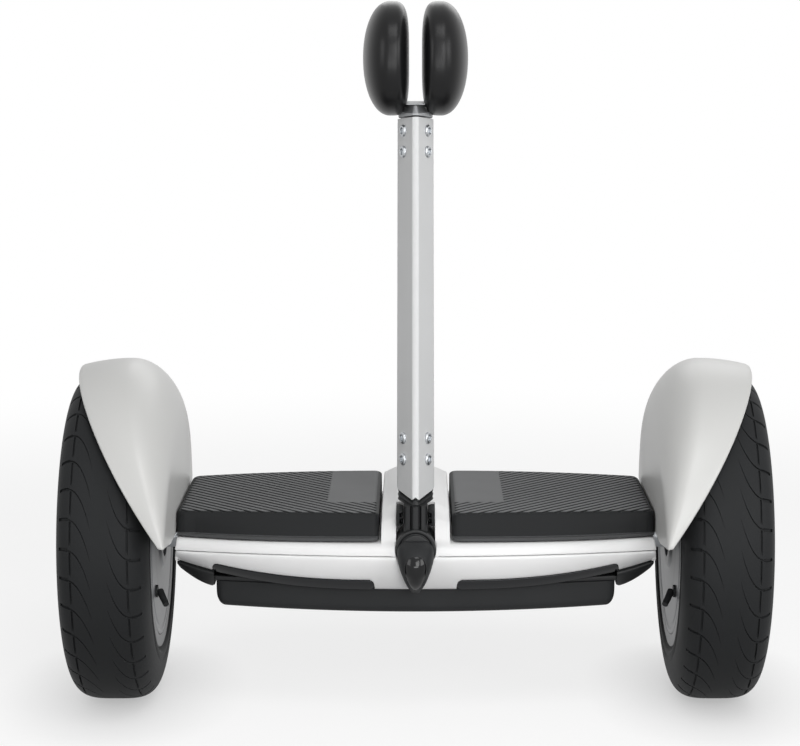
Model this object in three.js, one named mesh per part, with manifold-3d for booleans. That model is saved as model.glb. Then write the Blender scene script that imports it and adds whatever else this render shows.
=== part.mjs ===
// Self balancing personal transporter: two motor wheels, a standing deck and a tilting knee bar.
// Millimetres. X runs along the axle, the front faces -Y, Z is up.
// The origin is on the ground, midway between the wheels. Left is the rider's left, at +X.

import * as THREE from 'three';
import { mergeVertices } from 'three/addons/utils/BufferGeometryUtils.js';
import Module from 'manifold-3d';

const wasm = await Module();
wasm.setup();

// Fits.
const restGap = 0.3;
const slideGap = 0.4;
const matTravel = 1;
const buttonTravel = 1.5;
const overrun = 5;

// Wheels.
const overallWidth = 548;
const tyreRadius = 131;
const tyreWidth = 71;
const flangeRadius = 90;
const beadDepth = 5.5;
const beadRadius = flangeRadius - beadDepth;
const wheelX = (overallWidth - tyreWidth) / 2;
const axleZ = tyreRadius;
const axleRadius = 10;

// Fenders: a wall between the deck and each wheel, and a crown over the tyre.
const fenderWallGap = 15.5;
const fenderReach = 26.7;
const fenderClearance = 11.5;
const fenderThickness = 2.5;
const fenderLift = 2.5;
const fenderWallX = wheelX - tyreWidth / 2 - fenderWallGap;
const fenderOuterX = wheelX + fenderReach;
const fenderRadius = tyreRadius + fenderClearance;

// Deck. Its levels are counted from the seam, which lies a little above the axle.
const seamRise = 3;
const shellHeight = 8.5;
const skirtHeight = 28;
const skirtRise = 19;
const plateTuck = 2.3;
const plateThickness = 3.7;
const matHeight = 20.5;
const spineProud = 4;
const deckFrontY = -90;
const deckFrontSweep = 22;
const deckRearY = 124;
const deckRearSweep = 28;
const spineHalfWidth = 26.5;
const spineClearance = 2;
const shellWall = 3;
const deckEndX = fenderWallX - restGap;
const seamZ = axleZ + seamRise;
const deckTopZ = seamZ + shellHeight;
const skirtLowZ = seamZ - skirtHeight;
const plateBottomZ = skirtLowZ + plateTuck;
const plateTopZ = plateBottomZ + plateThickness;
const matTopZ = deckTopZ + matHeight;
const spineTopZ = matTopZ + spineProud;
const matInnerX = spineHalfWidth + spineClearance;
const fenderBottomZ = deckTopZ + fenderLift;

// Steering. The pivot lies fore and aft, under the front of the spine.
const pivotRise = 5;
const collarRadius = 15.5;
const pivotRadius = 8;
const neckInset = 4;
const slotLength = 48;
const slotNarrowing = 0.9;
const stemBaseInset = 26;
const stemBaseRise = 13.4;
const stemHeight = 284.5;
const stemLean = 11.5;
const stemWidthBase = 29.4;
const stemWidthTop = 28.5;
const stemDepth = 40;
const stemWall = 2.2;
const pivotZ = seamZ + pivotRise;
const neckFrontY = deckFrontY + neckInset;
const slotRearY = deckFrontY + slotLength;
const stemBaseY = neckFrontY + stemBaseInset;
const stemBaseZ = spineTopZ + stemBaseRise;
const stemTopZ = stemBaseZ + stemHeight;

// Knee pads.
const padRise = 2;
const padHeight = 89;
const padWidth = 36.2;
const padDepth = 96;
const padGap = 10;
const padTopZ = stemTopZ + padRise + padHeight;

// Finishes, read from the photograph.
const white = new THREE.MeshStandardMaterial({ color: 0xe4e4e2, roughness: 0.35, metalness: 0 });
const blackPlastic = new THREE.MeshStandardMaterial({ color: 0x17181a, roughness: 0.4, metalness: 0 });
const glossBlack = new THREE.MeshStandardMaterial({ color: 0x0c0d0f, roughness: 0.15, metalness: 0 });
const tyreRubber = new THREE.MeshStandardMaterial({ color: 0x222325, roughness: 0.7, metalness: 0 });
const matRubber = new THREE.MeshStandardMaterial({ color: 0x4a4b4c, roughness: 0.75, metalness: 0 });
const stemPaint = new THREE.MeshStandardMaterial({ color: 0xd6d7d8, roughness: 0.3, metalness: 0.4 });
const castMetal = new THREE.MeshStandardMaterial({ color: 0x2c2d2f, roughness: 0.5, metalness: 0.6 });
const hubMetal = new THREE.MeshStandardMaterial({ color: 0x55575a, roughness: 0.4, metalness: 0.8 });
const steel = new THREE.MeshStandardMaterial({ color: 0x9fa2a6, roughness: 0.3, metalness: 1 });
const copper = new THREE.MeshStandardMaterial({ color: 0xa8663a, roughness: 0.45, metalness: 1 });
const bronze = new THREE.MeshStandardMaterial({ color: 0xa5834c, roughness: 0.4, metalness: 1 });
const circuitGreen = new THREE.MeshStandardMaterial({ color: 0x1e5a38, roughness: 0.5, metalness: 0 });
const cellBlue = new THREE.MeshStandardMaterial({ color: 0x2b5c8f, roughness: 0.5, metalness: 0 });
const smokedLens = new THREE.MeshStandardMaterial({ color: 0x24272b, roughness: 0.12, metalness: 0 });
const redLens = new THREE.MeshStandardMaterial({ color: 0x8c1518, roughness: 0.15, metalness: 0 });
const greyPlastic = new THREE.MeshStandardMaterial({ color: 0xb9bbbd, roughness: 0.4, metalness: 0 });

// Shape helpers.

// Turns a closed mesh inside out if its faces point inwards.
function facingOut(geometry) {
  const position = geometry.attributes.position;
  const index = geometry.index;
  const corners = [new THREE.Vector3(), new THREE.Vector3(), new THREE.Vector3()];
  let volume = 0;
  for (let face = 0; face < index.count; face += 3) {
    corners.forEach((corner, k) => corner.fromBufferAttribute(position, index.getX(face + k)));
    volume += corners[0].dot(corners[1].clone().cross(corners[2]));
  }
  if (volume < 0) {
    for (let face = 0; face < index.count; face += 3) {
      const first = index.getX(face);
      index.setX(face, index.getX(face + 1));
      index.setX(face + 1, first);
    }
  }
  return geometry;
}

// A geometry reduced to its points, with shared corners merged.
function merged(geometry) {
  const bare = geometry.clone();
  bare.deleteAttribute('normal');
  bare.deleteAttribute('uv');
  return facingOut(mergeVertices(bare));
}

function solid(geometry) {
  const closed = merged(geometry);
  return new wasm.Manifold(new wasm.Mesh({
    numProp: 3,
    vertProperties: new Float32Array(closed.attributes.position.array),
    triVerts: new Uint32Array(closed.index.array),
  }));
}

function geometryOf(manifold) {
  const mesh = manifold.getMesh();
  const geometry = new THREE.BufferGeometry();
  geometry.setAttribute('position', new THREE.BufferAttribute(new Float32Array(mesh.vertProperties), 3));
  geometry.setIndex(new THREE.BufferAttribute(new Uint32Array(mesh.triVerts), 1));
  return geometry;
}

function fromTriangles(points, triangles) {
  const geometry = new THREE.BufferGeometry();
  geometry.setAttribute('position', new THREE.Float32BufferAttribute(points.flat(), 3));
  geometry.setIndex(triangles.flat());
  return facingOut(geometry);
}

// Joins a row of rings, each a closed loop of as many points, and closes both ends.
function loft(rings) {
  const count = rings[0].length;
  const points = rings.flat();
  const triangles = [];
  for (let i = 0; i < rings.length - 1; i += 1) {
    for (let j = 0; j < count; j += 1) {
      const a = i * count + j;
      const b = i * count + (j + 1) % count;
      triangles.push([a, b, b + count], [a, b + count, a + count]);
    }
  }
  for (const end of [0, rings.length - 1]) {
    const ring = rings[end];
    const centre = [0, 1, 2].map((k) => ring.reduce((sum, point) => sum + point[k], 0) / count);
    const middle = points.push(centre) - 1;
    for (let j = 0; j < count; j += 1) {
      const a = end * count + j;
      const b = end * count + (j + 1) % count;
      triangles.push(end === 0 ? [b, a, middle] : [a, b, middle]);
    }
  }
  return fromTriangles(points, triangles);
}

// A closed skin between an outer and an inner grid of points.
function skin(outer, inner) {
  const rows = outer.map((row, i) => [...row, ...[...inner[i]].reverse()]);
  const count = rows[0].length;
  const half = count / 2;
  const points = rows.flat();
  const triangles = [];
  for (let i = 0; i < rows.length - 1; i += 1) {
    for (let j = 0; j < count; j += 1) {
      const a = i * count + j;
      const b = i * count + (j + 1) % count;
      triangles.push([a, b, b + count], [a, b + count, a + count]);
    }
  }
  for (const end of [0, rows.length - 1]) {
    for (let j = 0; j < half - 1; j += 1) {
      const a = end * count + j;
      const b = end * count + count - 1 - j;
      const quad = [[a, b, a + 1], [a + 1, b, b - 1]];
      quad.forEach((face) => triangles.push(end === 0 ? face : [face[0], face[2], face[1]]));
    }
  }
  return fromTriangles(points, triangles);
}

// A profile of [radius, along] points turned about the X axis.
function turnedAboutX(profile, segments) {
  const points = profile.map(([radius, along]) => new THREE.Vector2(radius, along));
  const geometry = new THREE.LatheGeometry(points, segments);
  geometry.rotateZ(-Math.PI / 2);
  return merged(geometry);
}

function closedLoop(profile) {
  return [...profile, profile[0]];
}

function cylinderAlongY(radius, yFrom, yTo, x, z, segments) {
  const geometry = new THREE.CylinderGeometry(radius, radius, yTo - yFrom, segments);
  geometry.translate(x, (yFrom + yTo) / 2, z);
  return geometry;
}

function cylinderAlongZ(radius, zFrom, zTo, x, y, segments) {
  const geometry = new THREE.CylinderGeometry(radius, radius, zTo - zFrom, segments);
  geometry.rotateX(Math.PI / 2);
  geometry.translate(x, y, (zFrom + zTo) / 2);
  return geometry;
}

function boxBetween(low, high) {
  const size = [0, 1, 2].map((k) => high[k] - low[k]);
  const geometry = new THREE.BoxGeometry(...size);
  geometry.translate(...[0, 1, 2].map((k) => (high[k] + low[k]) / 2));
  return geometry;
}

function mirrored(geometry) {
  const copy = merged(geometry);
  copy.scale(-1, 1, 1);
  return facingOut(copy);
}

// Evenly spaced numbers from one value to another, both included.
function steps(from, to, count) {
  return Array.from({ length: count + 1 }, (unused, k) => from + (to - from) * k / count);
}

function radians(degrees) {
  return degrees * Math.PI / 180;
}

// Moves every edge of a convex loop inwards by a distance.
function inset(loop, distance) {
  const count = loop.length;
  const area = loop.reduce((sum, [x, y], k) => {
    const [nextX, nextY] = loop[(k + 1) % count];
    return sum + x * nextY - y * nextX;
  }, 0);
  const turn = Math.sign(area);
  const normals = loop.map(([x, y], k) => {
    const [nextX, nextY] = loop[(k + 1) % count];
    const length = Math.hypot(nextX - x, nextY - y);
    return [-turn * (nextY - y) / length, turn * (nextX - x) / length];
  });
  return loop.map(([x, y], k) => {
    const before = normals[(k + count - 1) % count];
    const after = normals[k];
    const reach = distance / (1 + before[0] * after[0] + before[1] * after[1]);
    return [x + (before[0] + after[0]) * reach, y + (before[1] + after[1]) * reach];
  });
}

// The object, and the one way to add a piece to it.
const transporter = new THREE.Group();
transporter.name = 'self_balancing_transporter';

function add(name, geometry, material) {
  const mesh = new THREE.Mesh(geometry, material);
  mesh.name = name;
  mesh.geometry.computeVertexNormals();
  transporter.add(mesh);
  return mesh;
}

// A piece made for the left side, and its mirror image for the right.
function addPair(name, geometry, material, place = [0, 0, 0]) {
  const left = add(`${name}_left`, merged(geometry), material);
  const right = add(`${name}_right`, mirrored(geometry), material);
  left.position.set(place[0], place[1], place[2]);
  right.position.set(-place[0], place[1], place[2]);
}

// Wheels. Along the axle, plus is outboard of the wheel's middle plane.
const tyreSegments = 36;
const wheelSegments = 24;
const shaftSegments = 16;
const flangeThickness = 2.5;
const treadRoundness = 3.33;
const treadWidestRadius = flangeRadius - 2 * flangeThickness;
const grooveOffset = 21.5;
const grooveWidth = 3;
const grooveDepth = 2.5;
const casingThickness = 9;
const beadHalfWidth = 31;
const beadThickness = 7;
const barrelWall = 6;
const coverThickness = 4.7;
const webThickness = 5;
const webInboard = 22;
const bearingWall = 6.7;
const bearingWidth = 8;
const bossWall = 7;

// The radius of the tread at a distance from its middle.
function treadRadius(offset) {
  const share = Math.abs(offset) / (tyreWidth / 2);
  const height = tyreRadius - treadWidestRadius;
  return treadWidestRadius + height * (1 - share ** treadRoundness) ** (1 / treadRoundness);
}

function makeTyre() {
  const groove = [
    [treadRadius(grooveOffset - grooveWidth / 2), grooveOffset - grooveWidth / 2],
    [treadRadius(grooveOffset) - grooveDepth, grooveOffset],
    [treadRadius(grooveOffset + grooveWidth / 2), grooveOffset + grooveWidth / 2],
  ];
  const shoulderShares = [0.82, 0.95];
  const shoulder = shoulderShares.map((share) => [treadRadius(share * tyreWidth / 2), share * tyreWidth / 2]);
  const half = [
    ...groove,
    ...shoulder,
    [flangeRadius + casingThickness, tyreWidth / 2],
    [flangeRadius + restGap, beadHalfWidth],
    [beadRadius, beadHalfWidth],
    [beadRadius, beadHalfWidth - beadThickness],
    [flangeRadius + casingThickness, tyreWidth / 2 - casingThickness],
    [tyreRadius - casingThickness * 2, tyreWidth / 2 - casingThickness],
  ];
  const crown = [[treadRadius(0), 0]];
  const ceiling = [[tyreRadius - casingThickness, 0]];
  const other = half.map(([radius, along]) => [radius, -along]).reverse();
  return turnedAboutX(closedLoop([...crown, ...half, ...ceiling, ...other]), tyreSegments);
}

const seatGap = 0.5;
const seatRadius = beadRadius - seatGap;
const barrelRadius = seatRadius - barrelWall;
const capInset = 18.5;
const capRadius = barrelRadius - capInset;
const flangeIn = beadHalfWidth + restGap;
const flangeOut = flangeIn + flangeThickness;
const coverSeatRadius = barrelRadius + barrelWall / 3;
const coverBack = flangeOut - coverThickness - restGap;
const bearingBore = axleRadius + restGap;
const bearingOuter = bearingBore + bearingWall;
const webOutboard = webInboard + webThickness;

function makeRim() {
  const bossBore = bearingOuter + restGap;
  const seatFloor = webInboard + restGap;
  return turnedAboutX([
    [0, seatFloor],
    [bossBore, seatFloor],
    [bossBore, webInboard - bearingWidth],
    [bossBore + bossWall, webInboard - bearingWidth],
    [bossBore + bossWall, webInboard],
    [barrelRadius, webInboard],
    [barrelRadius, -coverBack],
    [coverSeatRadius, -coverBack],
    [coverSeatRadius, -flangeOut],
    [flangeRadius, -flangeOut],
    [flangeRadius, -flangeIn],
    [seatRadius, -flangeIn],
    [seatRadius, flangeIn],
    [flangeRadius, flangeIn],
    [flangeRadius, flangeOut],
    [barrelRadius, flangeOut],
    [capRadius, webOutboard],
    [capRadius, webOutboard + webThickness / 2],
    [capRadius / 2, webOutboard + webThickness],
    [0, webOutboard + webThickness],
  ], wheelSegments);
}

function makeHubCover() {
  const bore = bearingOuter + restGap;
  const dishShare = 0.55;
  const edge = coverSeatRadius - restGap;
  return turnedAboutX(closedLoop([
    [bore, -coverBack - restGap],
    [edge, -coverBack - restGap],
    [edge, -flangeOut],
    [edge * dishShare, -flangeOut],
    [bore + bossWall, -flangeOut - webThickness / 2],
    [bore, -flangeOut - webThickness / 2],
  ]), wheelSegments);
}

function makeBearing(from) {
  return turnedAboutX(closedLoop([
    [bearingBore, from],
    [bearingOuter, from],
    [bearingOuter, from + bearingWidth],
    [bearingBore, from + bearingWidth],
  ]), shaftSegments);
}

const valveRadius = 3;
const valveFootRadius = 5;
const valveInset = 18;
const valveSeatRadius = barrelRadius - valveInset;
const valveReach = 14;
const valveRise = 6;
const valveAngle = 215;

// The valve leaves the hub cover and bends outwards, clear of the fender's wall.
function makeValve() {
  const footFace = -flangeOut - restGap;
  const foot = turnedAboutX([
    [0, footFace],
    [valveFootRadius, footFace],
    [valveFootRadius, footFace - valveRadius / 2],
    [0, footFace - valveRadius / 2],
  ], 12);
  const tubeLength = Math.hypot(valveReach, valveRise);
  const tube = new THREE.CylinderGeometry(valveRadius * 0.8, valveRadius, tubeLength, 12);
  tube.rotateZ(Math.atan2(valveRise, valveReach));
  tube.translate(footFace - valveRise / 2 - valveRadius, valveReach / 2, 0);
  const below = boxBetween([footFace, -valveReach, -valveReach], [valveReach, valveReach * 2, valveReach]);
  const valve = geometryOf(solid(foot).add(solid(tube)).subtract(solid(below)));
  valve.translate(0, valveSeatRadius, 0);
  valve.rotateX(radians(valveAngle));
  return valve;
}

const magnetGap = 4;
const statorRadius = barrelRadius - magnetGap;
const statorHalf = 10;
const windingHalf = 13.5;
const axleInset = 29.2;
const axleInnerX = deckEndX - axleInset;
const axleShoulder = 14;

function makeStator() {
  return turnedAboutX(closedLoop([
    [axleShoulder + restGap, -windingHalf],
    [statorRadius * 0.9, -windingHalf],
    [statorRadius * 0.9, -statorHalf],
    [statorRadius, -statorHalf],
    [statorRadius, statorHalf],
    [statorRadius * 0.9, statorHalf],
    [statorRadius * 0.9, windingHalf],
    [axleShoulder + restGap, windingHalf],
  ]), wheelSegments);
}

// The axle is fixed: it carries the stator, and its inner end is clamped in the chassis.
function makeAxle() {
  const shoulder = webInboard - bearingWidth - restGap;
  return turnedAboutX([
    [0, axleInnerX - wheelX],
    [axleRadius, axleInnerX - wheelX],
    [axleRadius, -windingHalf - restGap],
    [axleShoulder, -windingHalf - restGap],
    [axleShoulder, shoulder],
    [axleRadius, shoulder],
    [axleRadius, webInboard],
    [0, webInboard],
  ], shaftSegments);
}

const wheelPlace = [wheelX, 0, axleZ];
addPair('tyre', makeTyre(), tyreRubber, wheelPlace);
addPair('rim', makeRim(), hubMetal, wheelPlace);
addPair('hub_cover', makeHubCover(), hubMetal, wheelPlace);
addPair('bearing_inner', makeBearing(-flangeOut), steel, wheelPlace);
addPair('bearing_outer', makeBearing(webInboard - bearingWidth), steel, wheelPlace);
addPair('valve', makeValve(), blackPlastic, wheelPlace);
addPair('stator', makeStator(), copper, wheelPlace);
addPair('axle', makeAxle(), steel, wheelPlace);

// Fenders: a flat inner wall, a rounded shoulder and a crown that narrows to a tip at each end.
const fenderSteps = 22;
const fenderEndAngle = 82;
const fenderNarrowing = 1.95;
const fenderFlare = 5.5;
const fenderFlareY = 52;
const shoulderHeight = 58;
const shoulderHeightTip = 3;
const crownShare = 0.52;
const crownDrop = 4.7;
const tipWidth = 3;

function fenderSection(angle) {
  const closing = (Math.abs(angle) / fenderEndAngle) ** fenderNarrowing;
  const width = tipWidth + (fenderOuterX - fenderWallX - tipWidth) * (1 - closing);
  const openShare = (width - tipWidth) / (fenderOuterX - fenderWallX - tipWidth);
  const rise = shoulderHeightTip + (shoulderHeight - shoulderHeightTip) * openShare;
  const drop = crownDrop * openShare;
  const low = (fenderBottomZ - axleZ) / Math.cos(radians(angle));
  const crease = fenderRadius - rise;
  const crownX = width * crownShare;
  const wall = [0, 0.5, 1].map((share) => [fenderWallX, low + (crease - low) * share]);
  const round = steps(0, 90, 5).slice(1).map((turn) => [
    fenderWallX + crownX * (1 - Math.cos(radians(turn))),
    crease + rise * Math.sin(radians(turn)),
  ]);
  const fall = [0.5, 1].map((share) => [
    fenderWallX + crownX + (width - crownX) * share,
    fenderRadius - drop * share ** 2,
  ]);
  return [...wall, ...round, ...fall];
}

// The same section moved inwards by the wall's thickness, towards the wheel.
function offsetSection(section, distance) {
  return section.map(([x, radius], k) => {
    const [beforeX, beforeR] = section[Math.max(k - 1, 0)];
    const [afterX, afterR] = section[Math.min(k + 1, section.length - 1)];
    const length = Math.hypot(afterX - beforeX, afterR - beforeR);
    return [
      x + distance * (afterR - beforeR) / length,
      radius - distance * (afterX - beforeX) / length,
    ];
  });
}

// Behind the axle the fender flares outwards towards its rear end.
function fenderRow(section, angle) {
  return section.map(([x, radius]) => {
    const y = -radius * Math.sin(radians(angle));
    const flareShare = Math.max(y - fenderFlareY, 0) / (fenderRadius - fenderFlareY);
    return [x + fenderFlare * flareShare ** 1.3, y, axleZ + radius * Math.cos(radians(angle))];
  });
}

function makeFender() {
  const angles = steps(-fenderEndAngle, fenderEndAngle, fenderSteps);
  const outer = angles.map((angle) => fenderRow(fenderSection(angle), angle));
  const inner = angles.map((angle) => fenderRow(offsetSection(fenderSection(angle), fenderThickness), angle));
  return skin(outer, inner);
}

addPair('fender', makeFender(), white);

// Deck outline. The front and rear edges bow out between the wheels.
function deckFront(x) {
  return deckFrontY + deckFrontSweep * (x / deckEndX) ** 2;
}

function deckRear(x) {
  return deckRearY - deckRearSweep * (x / deckEndX) ** 2;
}

const skirtFlat = 32;
const skirtCurve = 2.4;
const skirtTuck = 9;
const skirtBelly = 1.2;
const deckSteps = 14;
const shoulderRun = 8;

// The skirt's lower edge rises towards the wheels.
function skirtLow(x) {
  const share = Math.max(Math.abs(x) - skirtFlat, 0) / (deckEndX - skirtFlat);
  return skirtLowZ + skirtRise * share ** skirtCurve;
}

// How far the skirt's face lies behind the seam at a height.
function skirtTuckAt(x, z) {
  const share = (seamZ - z) / (seamZ - skirtLow(x));
  return (skirtTuck + skirtBelly) * share ** 2 - skirtBelly * share;
}

function alongDeck(endX, section) {
  return loft(steps(-endX, endX, deckSteps).map((x) => section(x).map(([y, z]) => [x, y, z])));
}

// The deck shell's plate above the seam, moved in by a wall.
function shellPlate(wall, bottom) {
  return alongDeck(deckEndX - wall, (x) => {
    const front = deckFront(x) + wall;
    const rear = deckRear(x) - wall;
    const top = deckTopZ - wall;
    return [
      [front, bottom],
      [front, seamZ + restGap],
      [front + shoulderRun * 0.3, top - shellWall * 0.8],
      [front + shoulderRun, top],
      [rear - shoulderRun, top],
      [rear - shoulderRun * 0.3, top - shellWall * 0.8],
      [rear, seamZ + restGap],
      [rear, bottom],
    ];
  });
}

// Foot mats. Their front and rear edges sweep in towards the wheels.
const matEndGap = 0.8;
const matOuterX = deckEndX - matEndGap;
const matSkin = 3.6;
const matLipHeight = 2.2;
const matLipRun = 4;
const matFrontInset = 10;
const matFrontRun = 15;
const matRearInset = 19.5;
const matFrontLipY = deckFrontY + matFrontInset;
const matFrontLipSweep = 21;
const matFrontTopY = matFrontLipY + matFrontRun;
const matFrontTopSweep = 10;
const matRearTopY = deckRearY - matRearInset;
const matRearSweep = 24;
const matRearRun = 6;
const matEdgeRound = 3;
const matSteps = 8;
const platformSteps = 4;
const matBottomZ = deckTopZ + restGap + matTravel;
const filmThickness = 1;
const platformTopZ = matTopZ - matSkin - matTravel - restGap - filmThickness - restGap;

function matShare(x) {
  return (x - matInnerX) / (matOuterX - matInnerX);
}

function matFrontLip(x) {
  return matFrontLipY + matFrontLipSweep * matShare(x) ** 2.7;
}

function matFrontTop(x) {
  return matFrontTopY + matFrontTopSweep * matShare(x);
}

function matRearTop(x) {
  return matRearTopY - matRearSweep * matShare(x) ** 2;
}

// The raised block of a mat, moved in by a wall, between two heights.
function matBlock(wall, bottom, top) {
  const innerX = matInnerX + wall;
  const outerX = matOuterX - wall;
  const span = steps(innerX + matEdgeRound * 2, outerX - matEdgeRound * 2, matSteps - 4);
  const xs = [innerX, innerX + matEdgeRound / 2, ...span, outerX - matEdgeRound / 2, outerX];
  const cornerShares = [1, 0.4, 0];
  return loft(xs.map((x, k) => {
    const fromEnd = Math.min(k, xs.length - 1 - k);
    const drawn = matEdgeRound * (cornerShares[fromEnd] ?? 0);
    const footFront = matFrontLip(x) + matLipRun + wall + drawn;
    const footRear = matRearTop(x) + matRearRun - wall - drawn;
    const front = matFrontTop(x) + wall + drawn;
    const rear = matRearTop(x) - wall - drawn;
    const height = top - drawn * 0.7;
    const brow = height - matEdgeRound * 0.4;
    return [
      [x, footFront, bottom],
      [x, footFront, matBottomZ + matLipHeight / 2],
      [x, front - matEdgeRound, brow - matEdgeRound],
      [x, front - matEdgeRound * 0.3, brow],
      [x, front + matEdgeRound, height],
      [x, rear - matEdgeRound, height],
      [x, rear + matEdgeRound * 0.3, brow],
      [x, rear + matEdgeRound, brow - matEdgeRound],
      [x, footRear, matBottomZ + matLipHeight / 2],
      [x, footRear, bottom],
    ];
  }));
}

function matLip() {
  const corner = matLipRun + matEdgeRound;
  const xs = [matInnerX, matInnerX + corner * 0.3, ...steps(matInnerX + corner, matOuterX, matSteps - 2)];
  return loft(xs.map((x, k) => {
    const drawn = [corner * 0.8, corner * 0.2][k] ?? 0;
    const front = matFrontLip(x) + drawn;
    const rear = matRearTop(x) + matRearRun + matLipRun - drawn;
    return [
      [x, front, matBottomZ],
      [x, front, matBottomZ + matLipHeight],
      [x, rear, matBottomZ + matLipHeight],
      [x, rear, matBottomZ],
    ];
  }));
}

function makeMat() {
  const block = solid(matBlock(0, matBottomZ, matTopZ));
  const hollow = solid(matBlock(matSkin, matBottomZ - overrun, matTopZ - matSkin));
  return geometryOf(block.add(solid(matLip())).subtract(hollow));
}

// The thin rider sensor lies on the platform, just under the mat.
function makeSensor() {
  const margin = matSkin * 4;
  const plan = new THREE.Shape();
  const innerX = matInnerX + margin;
  const outerX = matOuterX - margin;
  plan.moveTo(innerX, matFrontTop(innerX) + margin);
  plan.lineTo(outerX, matFrontTop(outerX) + margin);
  plan.lineTo(outerX, matRearTop(outerX) - margin);
  plan.lineTo(innerX, matRearTop(innerX) - margin);
  const film = new THREE.ExtrudeGeometry(plan, { depth: filmThickness, bevelEnabled: false });
  film.translate(0, 0, platformTopZ + restGap);
  return film;
}

addPair('foot_mat', makeMat(), matRubber);
addPair('rider_sensor', makeSensor(), cellBlue);

// Spine between the mats: it rises at the front beside the steering slot and runs to the rear.
const spineInset = 7;
const spineFrontRun = 29;
const spineRearRun = 13;
const spineFrontY = deckFrontY + spineInset;
const spineFrontTopY = spineFrontY + spineFrontRun;
const spineRearY = deckRearY - spineInset;
const spineRearTopY = spineRearY - spineRearRun;
const spineDraft = 2.5;
const spineShoulder = 9;
const spineShoulderDrop = 4.5;

function spineBlock(wall, bottom) {
  const rows = [
    [spineFrontY + wall * 2, deckTopZ - shellWall / 2 - wall],
    [(spineFrontY + spineFrontTopY) / 2 + wall, deckTopZ + (spineTopZ - deckTopZ) * 0.72 - wall],
    [spineFrontTopY + wall, spineTopZ - shellWall * 0.4 - wall],
    [spineFrontTopY + shoulderRun + wall, spineTopZ - wall],
    [spineRearTopY - wall, spineTopZ - wall],
    [(spineRearTopY + spineRearY) / 2 - wall, (spineTopZ + deckTopZ) / 2 + shellWall - wall],
    [spineRearY - wall, deckTopZ - shellWall / 2 - wall],
  ];
  return loft(rows.map(([y, top]) => {
    const high = Math.max(top, bottom + shellWall / 2);
    const foot = spineHalfWidth - wall;
    const head = foot - spineDraft;
    const brow = high - Math.min(spineShoulderDrop, (high - bottom) / 2);
    return [
      [-foot, y, bottom],
      [-foot, y, bottom + (brow - bottom) / 4],
      [-head - spineDraft / 3, y, brow],
      [-head + spineShoulder, y, high],
      [head - spineShoulder, y, high],
      [head + spineDraft / 3, y, brow],
      [foot, y, bottom + (brow - bottom) / 4],
      [foot, y, bottom],
    ];
  }));
}

// The slot that the steering neck tilts in, open to the front and top.
const slotHalfWidth = collarRadius + slideGap;

function slotCut(wall) {
  const half = slotHalfWidth + wall;
  const mouth = half - slotNarrowing;
  const from = deckFrontY - overrun;
  const to = slotRearY + wall;
  const box = boxBetween([-mouth, from, pivotZ], [mouth, to, spineTopZ + overrun]);
  const round = cylinderAlongY(half, from, to, 0, pivotZ, shaftSegments * 2);
  return solid(box).add(solid(round));
}

const buttonRadius = 8;
const buttonInset = 22;
const windowInset = 34;
const buttonY = spineRearTopY - buttonInset;
const windowY = buttonY - windowInset;
const windowLength = 34;
const windowHalfWidth = 8;
const windowThickness = 2;
const axleHoleRadius = axleRadius + shellWall;

// A bar on the axle's line, right across the object.
function axleBar(radius) {
  const bar = new THREE.CylinderGeometry(radius, radius, overallWidth, shaftSegments);
  bar.rotateZ(Math.PI / 2);
  bar.translate(0, 0, axleZ);
  return solid(bar);
}

function windowShape(grow) {
  const radius = windowHalfWidth + grow;
  const run = windowLength / 2 - windowHalfWidth;
  const plan = new THREE.Shape();
  plan.absarc(0, run, radius, 0, Math.PI, false);
  plan.absarc(0, -run, radius, Math.PI, Math.PI * 2, false);
  return plan;
}

function windowPlate(grow, thickness, top) {
  const settings = { depth: thickness, bevelEnabled: false, curveSegments: 5 };
  const plate = new THREE.ExtrudeGeometry(windowShape(grow), settings);
  plate.translate(0, windowY, top - thickness);
  return plate;
}

// The raised platform that fills a mat's hollow, moved in by a wall.
function platform(side, wall, bottom) {
  const clear = matSkin + matEdgeRound + slideGap + wall;
  const top = platformTopZ - wall;
  const block = loft(steps(matInnerX + clear, matOuterX - clear, platformSteps).map((x) => [
    [x, matFrontLip(x) + matLipRun + clear, bottom],
    [x, matFrontTop(x) + clear, top],
    [x, matRearTop(x) - clear, top],
    [x, matRearTop(x) + matRearRun - clear, bottom],
  ]));
  return solid(side > 0 ? block : mirrored(block));
}

// Skirt: the band under the seam, front and rear, tucked in towards its lower edge.
function skirtLoop(x, wall, topZ, extraLow) {
  const front = deckFront(x);
  const rear = deckRear(x);
  const low = skirtLow(x);
  const shares = [0, 0.35, 0.7, 1];
  const frontSide = shares.map((share) => {
    const z = seamZ + (low - seamZ) * share;
    return [front + skirtTuckAt(x, z) + wall, z];
  });
  const rearSide = shares.map((share) => {
    const z = seamZ + (low - seamZ) * share;
    return [rear - skirtTuckAt(x, z) - wall, z];
  });
  const reach = topZ - seamZ;
  return [
    ...(reach > 0 ? [[front + wall, topZ]] : []),
    ...frontSide,
    ...(extraLow > 0 ? [[frontSide[3][0], low - extraLow], [rearSide[3][0], low - extraLow]] : []),
    ...[...rearSide].reverse(),
    ...(reach > 0 ? [[rear - wall, topZ]] : []),
  ];
}

// Long light strips lie in the skirt's lower edge, wider towards the middle.
const lensInnerX = 32;
const lensEndGap = 29.2;
const lensOuterX = deckEndX - lensEndGap;
const lensHeight = 7.6;
const lensHeightInner = 8.6;
const lensDepth = 5;
const lensProud = 0.3;
const lensDrop = 0.6;
const lensSteps = 8;

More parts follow.
